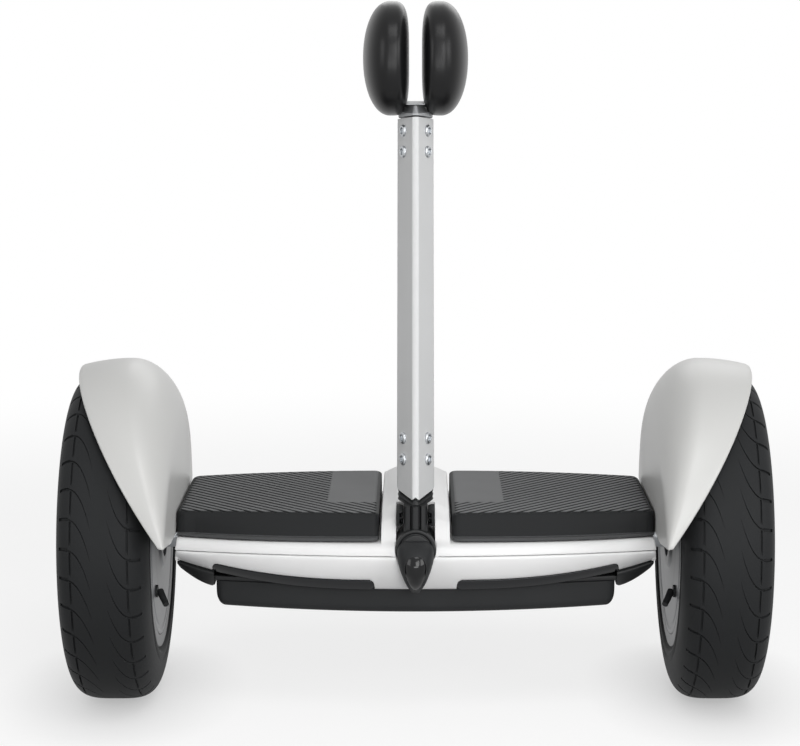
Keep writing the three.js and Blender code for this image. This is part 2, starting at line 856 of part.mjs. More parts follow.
function lensStrip(side, grow, fromX, toX) {
  const edge = side === 'front' ? (x) => deckFront(x) : (x) => deckRear(x);
  const into = side === 'front' ? 1 : -1;
  const endRound = lensHeight / 2;
  const span = steps(fromX + endRound, toX - endRound, lensSteps);
  const xs = [fromX - grow, fromX + endRound / 2, ...span, toX - endRound / 2, toX + grow];
  const endShares = grow > 0 ? [0.6, 1] : [0.3, 0.8];
  return loft(xs.map((x, k) => {
    const fromEnd = Math.min(k, xs.length - 1 - k);
    const open = endShares[fromEnd] ?? 1;
    const share = (toX - x) / (toX - fromX);
    const height = lensHeight + (lensHeightInner - lensHeight) * share;
    const middle = skirtLow(x) - lensDrop + height / 2;
    const low = middle - height / 2 * open - grow;
    const high = middle + height / 2 * open + grow;
    const face = (z) => edge(x) + into * (skirtTuckAt(x, Math.max(z, skirtLow(x))) - lensProud - grow);
    const behind = grow > 0 ? skirtTuck + shellWall + overrun : skirtTuckAt(x, middle) + lensDepth;
    const back = edge(x) + into * behind;
    return [
      [x, face(low), low],
      [x, face(high), high],
      [x, back, high],
      [x, back, low],
    ];
  }));
}

const tailLength = 88;
const tailEndGap = 37.2;
const tailOuterX = deckEndX - tailEndGap;
const tailInnerX = tailOuterX - tailLength;

// Charge socket and its hinged cover, in the rear of the skirt.
const socketX = 36;
const socketDrop = 12;
const socketZ = seamZ - socketDrop;
const socketRadius = 8;
const socketBore = 5.5;
const socketDepth = 15;
const flapWidth = 26;
const flapHeight = 19;
const flapThickness = 2.4;
const flapBarrelRadius = 2;

function rearFaceY(x, z) {
  return deckRear(x) - skirtTuckAt(x, z);
}

const socketFaceY = rearFaceY(socketX, socketZ) - restGap;

// A cylinder on the socket's axis, between two places measured from its face.
function alongSocket(radius, from, to) {
  return cylinderAlongY(radius, socketFaceY + from, socketFaceY + to, socketX, socketZ, shaftSegments);
}

// The band with its hollow: the front half is the skirt, the rear half is part of the deck shell.
function bandOuter(topZ) {
  return solid(alongDeck(deckEndX, (x) => skirtLoop(x, 0, topZ, 0)));
}

function bandCavity() {
  return solid(alongDeck(deckEndX - shellWall, (x) => skirtLoop(x, shellWall, seamZ + overrun, overrun)));
}

function halfSpace(yFrom, yTo) {
  return solid(boxBetween([-overallWidth, yFrom, -overallWidth], [overallWidth, yTo, overallWidth]));
}

function makeDeckShell() {
  const bottom = seamZ + restGap;
  const cavityBottom = bottom - overrun;
  const outer = solid(shellPlate(0, bottom))
    .add(solid(spineBlock(0, deckTopZ - shellWall)))
    .add(platform(1, 0, deckTopZ - shellWall / 2))
    .add(platform(-1, 0, deckTopZ - shellWall / 2))
    .add(bandOuter(bottom + restGap).intersect(halfSpace(0, overallWidth)));
  const rearCut = lensStrip('rear', restGap, tailInnerX, tailOuterX);
  const socketHole = alongSocket(socketRadius + restGap, -socketDepth, overrun);
  const cavity = solid(shellPlate(shellWall, cavityBottom))
    .add(solid(spineBlock(shellWall, cavityBottom)))
    .add(platform(1, shellWall, cavityBottom))
    .add(platform(-1, shellWall, cavityBottom))
    .subtract(slotCut(shellWall));
  const aboveSpine = spineTopZ + overrun;
  const shaftHoleRadius = pivotRadius + slideGap * 2;
  const shaftHole = cylinderAlongY(shaftHoleRadius, slotRearY - overrun, 0, 0, pivotZ, shaftSegments);
  const buttonHole = cylinderAlongZ(buttonRadius + slideGap, deckTopZ, aboveSpine, 0, buttonY, shaftSegments);
  const windowHole = windowPlate(restGap, windowThickness + restGap + overrun, aboveSpine);
  const cuts = [shaftHole, rearCut, mirrored(rearCut), socketHole, buttonHole, windowHole];
  const hollow = outer
    .subtract(cavity)
    .subtract(bandCavity())
    .subtract(slotCut(0))
    .subtract(axleBar(axleHoleRadius));
  return geometryOf(cuts.reduce((shell, cut) => shell.subtract(solid(cut)), hollow));
}

function makeSkirt() {
  const frontCut = lensStrip('front', restGap, lensInnerX, lensOuterX);
  return geometryOf(bandOuter(seamZ)
    .intersect(halfSpace(-overallWidth, 0))
    .subtract(bandCavity())
    .subtract(slotCut(0))
    .subtract(axleBar(axleHoleRadius))
    .subtract(solid(frontCut))
    .subtract(solid(mirrored(frontCut))));
}

add('deck_shell', makeDeckShell(), white);
add('front_skirt', makeSkirt(), white);
addPair('light_lens', lensStrip('front', 0, lensInnerX, lensOuterX), smokedLens);
addPair('tail_lens', lensStrip('rear', 0, tailInnerX, tailOuterX), redLens);

function makeSocket() {
  const body = solid(alongSocket(socketRadius, -socketDepth, 0));
  const bore = solid(alongSocket(socketBore, shellWall - socketDepth, overrun));
  const pin = solid(alongSocket(socketBore / 5, -socketDepth, -socketDepth * 0.6));
  return geometryOf(body.subtract(bore).add(pin));
}

// The cover hangs from a barrel along its top edge and lies against the skirt.
const flapHingeZ = socketZ + flapHeight / 2 - flapBarrelRadius;
const flapFaceY = rearFaceY(socketX, flapHingeZ) + restGap * 2;
const flapHingeY = flapFaceY + flapBarrelRadius;

function makeFlap() {
  const plate = new THREE.Shape();
  const half = flapWidth / 2;
  const corner = flapThickness * 1.5;
  const low = socketZ - flapHeight / 2;
  plate.moveTo(-half, flapHingeZ);
  plate.lineTo(-half, low + corner);
  plate.quadraticCurveTo(-half, low, -half + corner, low);
  plate.lineTo(half - corner, low);
  plate.quadraticCurveTo(half, low, half, low + corner);
  plate.lineTo(half, flapHingeZ);
  const settings = { depth: flapThickness, bevelEnabled: false, curveSegments: 4 };
  const sheet = new THREE.ExtrudeGeometry(plate, settings);
  sheet.rotateX(Math.PI / 2);
  sheet.translate(socketX, flapFaceY + flapThickness, 0);
  const barrel = new THREE.CylinderGeometry(flapBarrelRadius, flapBarrelRadius, flapWidth, 16);
  barrel.rotateZ(Math.PI / 2);
  barrel.translate(socketX, flapHingeY, flapHingeZ);
  return geometryOf(solid(sheet).add(solid(barrel)));
}

add('charge_socket', makeSocket(), blackPlastic);
add('charge_cover', makeFlap(), matRubber);

function makeButton() {
  const collar = buttonRadius + slideGap * 3;
  const under = spineTopZ - shellWall - restGap * 2;
  const profile = [
    [0, under - shellWall],
    [collar, under - shellWall],
    [collar, under],
    [buttonRadius, under],
    [buttonRadius, spineTopZ + buttonTravel * 0.4],
    [buttonRadius * 0.9, spineTopZ + buttonTravel * 0.8],
    [0, spineTopZ + buttonTravel],
  ].map(([radius, z]) => new THREE.Vector2(radius, z));
  const button = new THREE.LatheGeometry(profile, shaftSegments);
  button.rotateX(Math.PI / 2);
  button.translate(0, buttonY, 0);
  return merged(button);
}

add('power_button', makeButton(), greyPlastic);
add('charge_window', merged(windowPlate(0, windowThickness, spineTopZ)), smokedLens);

// Chassis casting: a plate, a fin and an axle seat at each end, and the steering housing.
const plateMargin = 5;
const plateOverlap = 4.5;
const finWidth = 29.1;
const finEndGap = 0.6;
const finDrop = 3.8;
const finRise = 15;
const seatHalfY = 20;
const seatWidth = 17;
const finEndX = deckEndX - finEndGap;
const finStartX = finEndX - finWidth;
const finLowZ = skirtLowZ - finDrop;
const plateEndX = finStartX + plateOverlap;
const seatInnerX = finStartX + shellWall / 2;
const seatOuterX = seatInnerX + seatWidth;
const housingHalf = 17;
const housingRearY = 16;
const bushLength = 12;
const bushWall = 4;
const housingBore = pivotRadius + restGap + bushWall + restGap;
const housingFrontY = slotRearY + shellWall + slideGap;

function finSection(x) {
  const share = (x - finStartX) / (finEndX - finStartX);
  const low = finLowZ + finRise * share ** 1.6;
  const high = axleZ - restGap / 2;
  const belowSkirt = skirtLow(x) - restGap;
  const front = deckFront(x) + skirtTuck;
  const rear = deckRear(x) - skirtTuck;
  const clear = shellWall + restGap;
  return [
    [x, front + clear, high],
    [x, front + clear, belowSkirt],
    [x, front + restGap, Math.max(low + shellWall, belowSkirt - shellWall)],
    [x, front + shoulderRun, low],
    [x, rear - shoulderRun, low],
    [x, rear - restGap, Math.max(low + shellWall, belowSkirt - shellWall)],
    [x, rear - clear, belowSkirt],
    [x, rear - clear, high],
  ];
}

function makeChassis() {
  const plate = solid(loft(steps(-plateEndX, plateEndX, 10).map((x) => {
    const front = deckFront(x) + skirtTuck + plateMargin;
    const rear = deckRear(x) - skirtTuck - plateMargin;
    return [
      [x, front, plateBottomZ],
      [x, front, plateTopZ],
      [x, rear, plateTopZ],
      [x, rear, plateBottomZ],
    ];
  })));
  const fin = loft(steps(finStartX, finEndX, 4).map((x) => finSection(x)));
  const endX = deckEndX - shellWall - restGap * 2;
  const endLow = skirtLow(endX) - restGap;
  const endClear = boxBetween([endX, -overallWidth, endLow], [overallWidth, overallWidth, axleZ + overrun]);
  const housing = solid(boxBetween([-housingHalf, housingFrontY, plateTopZ - shellWall],
    [housingHalf, housingRearY, pivotZ + housingHalf]));
  const boreEnds = [housingFrontY - overrun, housingRearY + overrun];
  const bore = solid(cylinderAlongY(housingBore, ...boreEnds, 0, pivotZ, shaftSegments));
  return geometryOf(plate
    .add(solid(fin))
    .add(solid(mirrored(fin)))
    .subtract(solid(endClear))
    .subtract(solid(mirrored(endClear)))
    .subtract(axleBar(axleRadius + restGap))
    .add(housing)
    .subtract(bore));
}

function makeClamp() {
  const top = axleZ + axleRadius + shellWall * 1.6;
  const block = boxBetween([seatInnerX, -seatHalfY, axleZ + restGap / 2], [seatOuterX, seatHalfY, top]);
  return geometryOf(solid(block).subtract(axleBar(axleRadius + restGap)));
}

add('chassis_frame', makeChassis(), castMetal);
addPair('axle_clamp', makeClamp(), steel);

// Battery case under the plate, bowed along its bottom, with the cells inside.
const caseEndGap = 1.5;
const caseHeight = 22.5;
const caseInset = 14;
const caseRearInset = 24;
const caseBow = 2;
const caseChamfer = 7;
const caseHalfX = finStartX - caseEndGap;
const caseTopZ = plateBottomZ - restGap;
const caseBottomZ = caseTopZ - caseHeight;
const caseSideZ = caseBottomZ + caseHeight / 2;
const caseWall = 2.5;

function caseLoft(wall, top) {
  const end = caseHalfX - wall;
  const xs = [-end, -end + caseChamfer / 2, ...steps(-end + caseChamfer, end - caseChamfer, 8),
    end - caseChamfer / 2, end];
  const liftShares = [1, 0.4];
  return loft(xs.map((x, k) => {
    const fromEnd = Math.min(k, xs.length - 1 - k);
    const bottom = caseBottomZ + caseBow * (x / caseHalfX) ** 2 + wall;
    const lifted = bottom + (caseSideZ - caseBottomZ - caseBow) * (liftShares[fromEnd] ?? 0);
    const front = deckFront(x) + caseInset + wall;
    const rear = deckRear(x) - caseRearInset - wall;
    return [
      [x, front, top],
      [x, front, lifted + caseChamfer],
      [x, front + caseChamfer * 0.3, lifted + caseChamfer * 0.3],
      [x, front + caseChamfer, lifted],
      [x, rear - caseChamfer, lifted],
      [x, rear - caseChamfer * 0.3, lifted + caseChamfer * 0.3],
      [x, rear, lifted + caseChamfer],
      [x, rear, top],
    ];
  }));
}

function makeCells() {
  const cellRadius = 9;
  const rows = 5;
  const columns = 3;
  const cellLength = 65;
  const pitch = cellRadius * 2 + restGap;
  const floor = caseBottomZ + caseBow / 2 + caseWall + restGap;
  const pack = boxBetween(
    [-cellLength * columns / 2, -pitch * rows / 2, floor],
    [cellLength * columns / 2, pitch * rows / 2, floor + cellRadius * 2],
  );
  const grooveDepthShare = 0.3;
  let block = solid(pack);
  for (let k = 1; k < rows; k += 1) {
    const y = -pitch * rows / 2 + pitch * k;
    const groove = boxBetween(
      [-cellLength * columns, y - restGap * 2, floor + cellRadius * 2 * (1 - grooveDepthShare)],
      [cellLength * columns, y + restGap * 2, caseTopZ + overrun],
    );
    block = block.subtract(solid(groove));
  }
  return geometryOf(block);
}

const caseSolid = solid(caseLoft(0, caseTopZ)).subtract(solid(caseLoft(caseWall, caseTopZ + overrun)));
add('battery_case', geometryOf(caseSolid), blackPlastic);
add('battery_cells', makeCells(), cellBlue);

// Control board, behind the steering housing.
function makeBoard() {
  const halfX = 66;
  const frontY = housingRearY + shellWall;
  const rearY = 84;
  const thickness = 1.6;
  const boardTop = plateTopZ + restGap + thickness;
  let board = solid(boxBetween([-halfX, frontY, plateTopZ + restGap], [halfX, rearY, boardTop]));
  const canRadius = 6;
  const canHeight = 12;
  for (const share of [-0.7, -0.35, 0.35, 0.7]) {
    const y = rearY - canRadius * 2;
    const can = cylinderAlongZ(canRadius, boardTop - restGap, boardTop + canHeight, halfX * share, y, 8);
    board = board.add(solid(can));
  }
  const sink = boxBetween([-halfX * 0.6, frontY + canRadius, boardTop - restGap],
    [halfX * 0.6, frontY + canRadius * 4, boardTop + canHeight / 2]);
  return geometryOf(board.add(solid(sink)));
}

add('control_board', makeBoard(), circuitGreen);

// Stem: a leaning tube with a ridge down its front.
const facetAngle = 25;
const ridgeHalf = 2.6;
const ridgeRound = 0.7;
const spigotLength = 46;
const cutSlope = 0.1;
const topCutSlope = -0.115;
const footSag = 3.4;
const facetShares = [0.33, 0.67];

// The stem's section about its own middle, as [x, y] points, front ridge first.
function stemLoop(width) {
  const half = width / 2;
  const front = -stemDepth / 2;
  const back = stemDepth / 2;
  const facetX = half * 0.97;
  const facetEnd = front + ridgeRound + (facetX - ridgeHalf) / Math.tan(radians(facetAngle));
  const right = [
    [ridgeHalf * 0.45, front + ridgeRound * 0.25],
    [ridgeHalf, front + ridgeRound],
    ...facetShares.map((share) => [
      ridgeHalf + (facetX - ridgeHalf) * share,
      front + ridgeRound + (facetEnd - front - ridgeRound) * share,
    ]),
    [facetX, facetEnd],
    [half, facetEnd + (back - facetEnd) * 0.25],
    [half * 0.93, facetEnd + (back - facetEnd) * 0.6],
    [half * 0.7, back - (back - facetEnd) * 0.1],
    [half * 0.3, back],
  ];
  const left = right.map(([x, y]) => [-x, y]).reverse();
  return [...right, ...left];
}

function stemCentre(share) {
  const rise = (stemTopZ - stemBaseZ) * share;
  return { y: stemBaseY + rise * Math.tan(radians(stemLean)), z: stemBaseZ + rise };
}

// A ring of the stem's skin. Each point slides along the stem until its height follows the slope.
function stemRing(share, wall, slope, sag = 0) {
  const loopAt = (place) => {
    const width = stemWidthBase + (stemWidthTop - stemWidthBase) * place;
    return wall > 0 ? inset(stemLoop(width), wall) : stemLoop(width);
  };
  return loopAt(share).map(([side, across], k) => {
    const sideShare = Math.min(Math.abs(side) / (stemWidthBase / 2), 1);
    const lower = sag * 4 * sideShare * (1 - sideShare);
    const place = share + (slope * across - lower) / (stemTopZ - stemBaseZ);
    const [x, y] = loopAt(place)[k];
    const centre = stemCentre(place);
    return [x, centre.y + y, centre.z];
  });
}

// The tube's foot is cut in a curve that dips in the middle of each facet. Its top rises to the ridge.
function stemBar(wall, fromShare, toShare, fromSlope, toSlope, fromSag = 0, toSag = 0) {
  return loft([stemRing(fromShare, wall, fromSlope, fromSag), stemRing(toShare, wall, toSlope, toSag)]);
}

const stemLength = stemTopZ - stemBaseZ;
const spigotShare = spigotLength / stemLength;
const endShare = overrun / stemLength;
const spigotWall = stemWall + restGap;

// Screws in the side facets, two pairs at the foot and two at the top.
const screwHeadRadius = 4.7;
const screwHeadHeight = 1.4;
const screwRadius = 2.2;
const screwLength = 9;
const socketHexRadius = 2.5;
const screwPitch = 16.2;
const screwFootRise = 24;
const screwTopDrop = 9.1;
const screwHeights = [
  stemBaseZ + screwFootRise,
  stemBaseZ + screwFootRise + screwPitch,
  stemTopZ - screwTopDrop - screwPitch,
  stemTopZ - screwTopDrop,
];
const screwFacetX = 9.3;

// Where a screw sits on the left facet, and which way the facet faces.
function screwSeat(z) {
  const share = (z - stemBaseZ) / stemLength;
  const centre = stemCentre(share);
  const y = centre.y - stemDepth / 2 + ridgeRound + (screwFacetX - ridgeHalf) / Math.tan(radians(facetAngle));
  const normal = new THREE.Vector3(Math.cos(radians(facetAngle)), -Math.sin(radians(facetAngle)), 0);
  return { point: new THREE.Vector3(screwFacetX, y, z), normal };
}

function ontoSeat(geometry, z) {
  const seat = screwSeat(z);
  const turn = new THREE.Quaternion().setFromUnitVectors(new THREE.Vector3(0, 1, 0), seat.normal);
  geometry.applyQuaternion(turn);
  geometry.translate(seat.point.x, seat.point.y, seat.point.z);
  return geometry;
}

function makeScrew(z) {
  const lift = restGap * 2;
  const profile = [
    [0, -screwLength],
    [screwRadius, -screwLength],
    [screwRadius, lift],
    [screwHeadRadius, lift],
    [screwHeadRadius, lift + screwHeadHeight / 2],
    [screwHeadRadius * 0.75, lift + screwHeadHeight],
    [0, lift + screwHeadHeight],
  ].map(([radius, height]) => new THREE.Vector2(radius, height));
  const body = solid(merged(new THREE.LatheGeometry(profile, 8)));
  const hex = new THREE.CylinderGeometry(socketHexRadius, socketHexRadius, screwHeadHeight * 1.4, 6);
  hex.translate(0, lift + screwHeadHeight, 0);
  return ontoSeat(geometryOf(body.subtract(solid(hex))), z);
}

function screwHole(z) {
  const hole = new THREE.CylinderGeometry(screwRadius + restGap, screwRadius + restGap, screwLength * 4, 8);
  return ontoSeat(hole, z);
}

function withScrewHoles(body, heights) {
  let cut = body;
  for (const z of heights) {
    const hole = screwHole(z);
    cut = cut.subtract(solid(hole)).subtract(solid(mirrored(hole)));
  }
  return cut;
}

function makeStem() {
  const outer = solid(stemBar(0, 0, 1, cutSlope, topCutSlope, footSag));
  const bore = solid(stemBar(stemWall, -endShare * 3, 1 + endShare * 3, cutSlope, topCutSlope));
  return geometryOf(withScrewHoles(outer.subtract(bore), screwHeights));
}

add('stem_tube', makeStem(), stemPaint);
screwHeights.forEach((z, k) => addPair(`stem_screw_${k + 1}`, makeScrew(z), steel));

// Steering neck: pivot collar, slim neck with a front rib, and the spigot in the stem's foot.
const neckHalf = 9.25;
const neckDepth = 36;
const neckRearY = neckFrontY + neckDepth;
const neckRibHalf = 2.6;
const neckRibDepth = 2.4;
const neckProud = 5;
const collarInset = 1.5;
const collarLength = 36.5;
const shaftInset = 14.5;
const neckTopZ = spineTopZ + neckProud;
const headRise = 4.2;
const headWall = 0.8;
const headGap = 1.2;
const collarFrontY = deckFrontY + collarInset;
const collarRearY = collarFrontY + collarLength;
const shaftFrontY = collarFrontY + shaftInset;
const shaftRearY = housingRearY - restGap;

function makeNeck() {
  const collar = solid(cylinderAlongY(collarRadius, collarFrontY, collarRearY, 0, pivotZ, shaftSegments * 2));
  const body = solid(boxBetween([-neckHalf, neckFrontY + neckRibDepth, pivotZ],
    [neckHalf, neckRearY, neckTopZ]));
  const rib = solid(boxBetween([-neckRibHalf, neckFrontY, pivotZ],
    [neckRibHalf, neckRearY, neckTopZ - restGap]));
  const footShare = (neckTopZ - shellWall - stemBaseZ) / stemLength;
  const spigot = solid(stemBar(spigotWall, footShare, spigotShare, 0, cutSlope));
  const boreEnds = [shaftFrontY - restGap, collarRearY + overrun * 2];
  const bore = solid(cylinderAlongY(pivotRadius + restGap, ...boreEnds, 0, pivotZ, shaftSegments));
  const headShare = (spineTopZ + headRise - stemBaseZ) / stemLength;
  const head = solid(stemBar(headWall, headShare, -headGap / stemLength, cutSlope, cutSlope, 0, footSag));
  const joined = collar.add(body).add(rib).add(head).add(spigot).subtract(bore);
  return geometryOf(withScrewHoles(joined, screwHeights.slice(0, 2)));
}

function ringAlongY(innerRadius, outerRadius, yFrom, yTo) {
  const outer = solid(cylinderAlongY(outerRadius, yFrom, yTo, 0, pivotZ, shaftSegments));
  const bore = solid(cylinderAlongY(innerRadius, yFrom - overrun, yTo + overrun, 0, pivotZ, shaftSegments));
  return geometryOf(outer.subtract(bore));
}

const bushInner = pivotRadius + restGap;
const bushOuter = bushInner + bushWall;
const bushFrontFrom = housingFrontY + restGap;
const bushRearTo = housingRearY - restGap;

add('steering_neck', makeNeck(), blackPlastic);
const shaftBar = cylinderAlongY(pivotRadius, shaftFrontY, shaftRearY, 0, pivotZ, shaftSegments);
add('pivot_shaft', merged(shaftBar), steel);
add('pivot_bush_front', ringAlongY(bushInner, bushOuter, bushFrontFrom, bushFrontFrom + bushLength), bronze);
add('pivot_bush_rear', ringAlongY(bushInner, bushOuter, bushRearTo - bushLength, bushRearTo), bronze);
add('centring_rubber', ringAlongY(bushInner, bushOuter, bushFrontFrom + bushLength + restGap,
  bushRearTo - bushLength - restGap), matRubber);

// Dust gaiters: ribbed rubber between the neck and the sides of its slot.
const gaiterHeight = 12;
const gaiterProud = 1;
const gaiterInset = 6;
const gaiterDepth = 25;
const gaiterRibs = 5;
const gaiterHighZ = spineTopZ + gaiterProud;
const gaiterLowZ = gaiterHighZ - gaiterHeight;
const gaiterFrontY = neckFrontY + gaiterInset;
const gaiterRearY = gaiterFrontY + gaiterDepth;

function makeGaiter() {
  const wallX = slotHalfWidth - slotNarrowing - restGap;
  const crestX = neckHalf + restGap;
  const valleyX = crestX + (wallX - crestX) * 0.45;
  const pitch = (gaiterHighZ - gaiterLowZ) / gaiterRibs;
  const outline = new THREE.Shape();
  outline.moveTo(wallX, gaiterLowZ);
  outline.lineTo(wallX, gaiterHighZ);
  for (let k = gaiterRibs; k > 0; k -= 1) {
    const z = gaiterLowZ + pitch * k;
    outline.lineTo(valleyX, z);
    outline.lineTo(crestX, z - pitch / 2);
  }
  outline.lineTo(valleyX, gaiterLowZ);
  const settings = { depth: gaiterRearY - gaiterFrontY, bevelEnabled: false };
  const gaiter = new THREE.ExtrudeGeometry(outline, settings);
  gaiter.rotateX(Math.PI / 2);
  gaiter.translate(0, gaiterRearY, 0);
  return merged(gaiter);
}

addPair('dust_gaiter', makeGaiter(), matRubber);

// Nose below the pivot: an almond that swells forward, with a lamp window in its face.
const noseRise = 7;
const noseTopZ = pivotZ + noseRise;
const noseHeight = 39.5;
const noseHalfWidth = 14.4;
const noseDepth = 20;
// Each row is a share of the height down from the top, of the half width and of the depth.
const noseShares = [[0, 0.625, 0.25], [0.063, 0.875, 0.55], [0.2, 1, 0.85], [0.38, 0.965, 1],
  [0.58, 0.82, 1], [0.785, 0.6, 0.8], [0.924, 0.4, 0.5], [1, 0.2, 0.3]];
const noseBackY = collarFrontY - slideGap * 2;
const lampDrop = 8;
const lampHeight = 28;
const lampHalfWidth = 8.6;
const lampPocketDepth = 9.7;
const lampTopZ = noseTopZ - lampDrop;
const lampLowZ = lampTopZ - lampHeight;
const lampPocketY = noseBackY - lampPocketDepth;

function noseBody(grow) {
  return loft(noseShares.map(([downShare, widthShare, depthShare]) => {
    const z = noseTopZ - noseHeight * downShare;
    const half = noseHalfWidth * widthShare;
    const depth = noseDepth * depthShare;
    const skirtY = z < seamZ ? deckFrontY + skirtTuckAt(0, Math.max(z, skirtLowZ)) - restGap : noseBackY;
    const back = Math.min(skirtY, noseBackY + (z < seamZ ? skirtTuck : 0));
    const frontPoints = steps(0, 180, 8).map((angle) => [
      (half + grow) * Math.cos(radians(angle)),
      noseBackY - (depth + grow) * Math.sin(radians(angle)) ** 0.9,
      z,
    ]);
    return [...frontPoints, [-half, back, z], [0, back, z], [half, back, z]];
  }));
}

// The almond outline of the lamp window, extruded along Y.
function lampPrism(grow, rearY) {
  const middle = lampTopZ - (lampTopZ - lampLowZ) * 0.35;
  const outline = new THREE.Shape();
  outline.moveTo(0, lampTopZ + grow);
  outline.quadraticCurveTo(lampHalfWidth + grow, lampTopZ + grow, lampHalfWidth + grow, middle);
  outline.quadraticCurveTo(lampHalfWidth * 0.8 + grow, lampLowZ - grow, 0, lampLowZ - grow);
  outline.quadraticCurveTo(-lampHalfWidth * 0.8 - grow, lampLowZ - grow, -lampHalfWidth - grow, middle);
  outline.quadraticCurveTo(-lampHalfWidth - grow, lampTopZ + grow, 0, lampTopZ + grow);
  const settings = { depth: noseDepth + overrun, bevelEnabled: false, curveSegments: 4 };
  const prism = new THREE.ExtrudeGeometry(outline, settings);
  prism.rotateX(Math.PI / 2);
  prism.translate(0, rearY, 0);
  return solid(prism);
}

const noseSolid = solid(noseBody(0));
add('nose_cover', geometryOf(noseSolid.subtract(lampPrism(restGap, lampPocketY))), blackPlastic);
const lampSolid = solid(noseBody(restGap)).intersect(lampPrism(0, lampPocketY - restGap));
add('lamp_window', geometryOf(lampSolid), glossBlack);

// Top bracket: a spigot in the stem, a flared yoke and an arm into each knee pad.
const padMiddleZ = padTopZ - padHeight / 2;
const padMiddleY = 8;
const padCrownX = 20;
const yokeLowZ = stemTopZ + restGap * 4;
const yokeHeight = 9.6;
const yokeHalfWidth = 13.6;
const yokeHalfDepth = 19;
// Each row is a share of the yoke's height, half width and half depth.
const yokeShares = [[0, 1, 1], [0.4, 1, 1], [0.46, 0.96, 0.97], [1, 0.6, 0.86]];
const capHeight = 1.6;
const capTopZ = yokeLowZ + yokeHeight + capHeight;
const capHalf = 7.6;
const armInnerX = 12;
const armThickness = 4;
const armHalfY = 24;
const armInset = 25;
const armRootRise = 5.5;
const paddleRise = 9;
const armTopZ = padTopZ - armInset;
const armRootZ = stemTopZ + armRootRise;
const paddleLowZ = armRootZ + paddleRise;

function yoke(grow) {
  const centreY = stemCentre(1).y;
  const lift = [-grow, 0, 0, grow];
  return solid(loft(yokeShares.map(([rise, wide, deep], row) => stemLoop(stemWidthTop).map(([x, y]) => [
    x * (yokeHalfWidth * wide + grow) / (stemWidthTop / 2),
    centreY + y * (yokeHalfDepth * deep + grow) / (stemDepth / 2),
    yokeLowZ + yokeHeight * rise + lift[row] + (row > 0 ? 0 : topCutSlope * y),
  ]))));
}

// An arm: a root across the stem, a narrow upright, and a wide paddle that stays inside the pad.
function padArm(grow) {
  const outerX = armInnerX + armThickness + grow;
  const frontY = padMiddleY - armHalfY - grow;
  const rearY = padMiddleY + armHalfY + grow;
  const rootFrontY = padMiddleY - armHalfY / 2 - grow;
  const rootRearY = padMiddleY + armHalfY / 2 + grow;
  const rootTopZ = armRootZ + armThickness + grow;
  const paddle = boxBetween([armInnerX - grow, frontY, paddleLowZ - grow], [outerX, rearY, armTopZ + grow]);
  const upright = boxBetween([armInnerX - grow, rootFrontY, armRootZ - grow], [outerX, rootRearY, armTopZ]);
  const root = boxBetween([0, rootFrontY, armRootZ - grow], [outerX, rootRearY, rootTopZ]);
  return solid(paddle).add(solid(upright)).add(solid(root));
}

function mirroredSolid(manifold) {
  return solid(mirrored(geometryOf(manifold)));
}

function makeBracket() {
  const spigot = solid(stemBar(spigotWall, 1 - spigotShare, 1 + endShare, 0, 0));
  const arm = padArm(0);
  const joined = yoke(0).add(spigot).add(arm).add(mirroredSolid(arm));
  return geometryOf(withScrewHoles(joined, screwHeights.slice(2)));
}

add('top_bracket', makeBracket(), blackPlastic);
const capHalfY = armHalfY - restGap;
add('bracket_cap', merged(boxBetween([-capHalf, padMiddleY - capHalfY, yokeLowZ + yokeHeight + restGap],
  [capHalf, padMiddleY + capHalfY, capTopZ])), greyPlastic);

// Knee pads: foam cushions with a flat inner face and a swelling outer side.
const padRings = 10;
const padPoints = 18;
const padOuterRound = 2.1;
const padInnerRound = 3.8;
const padDepthRound = 2.3;
const padEndShare = 0.985;

function swell(share, roundness) {
  return (1 - Math.abs(share) ** roundness) ** (1 / roundness);
}

function padLoft() {
  const innerX = padGap / 2;
  const outerX = innerX + padWidth;
  return loft(steps(-90, 90, padRings).map((turn) => {
    const share = padEndShare * Math.sin(radians(turn));
    const out = (outerX - padCrownX) * swell(share, padOuterRound);
    const inn = (padCrownX - innerX) * swell(share, padInnerRound);
    const deep = padDepth / 2 * swell(share, padDepthRound);
    return Array.from({ length: padPoints }, (unused, k) => {
      const angle = Math.PI * 2 * k / padPoints;
      const across = Math.cos(angle);
      const along = Math.sin(angle);
      const flat = Math.sign(across) * Math.abs(across) ** (across < 0 ? 0.45 : 0.95);
      return [
        padCrownX + (across < 0 ? inn : out) * flat,
        padMiddleY + deep * Math.sign(along) * Math.abs(along) ** 0.9,
        padMiddleZ + padHeight / 2 * share / padEndShare,
      ];
    });
  }));
}

function makePad() {
  const cap = solid(boxBetween([-capHalf - restGap, padMiddleY - armHalfY, armRootZ - overrun],
    [capHalf + restGap, padMiddleY + armHalfY, capTopZ + restGap]));
  return geometryOf(solid(padLoft()).subtract(padArm(slideGap)).subtract(cap).subtract(yoke(slideGap * 3)));
}

addPair('knee_pad', makePad(), blackPlastic);

export default transporter;
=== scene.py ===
"""The looks of a self balancing personal transporter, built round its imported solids.

The file follows the object as it is put together: wheels, fenders, chassis and battery, deck,
mats, lights, stem, neck, nose, bracket, knee pads. Shapes are written in millimetres, as on a drawing,
and piece() turns them to metres. X runs along the axle, the front faces -Y, Z is up.
"""

import math

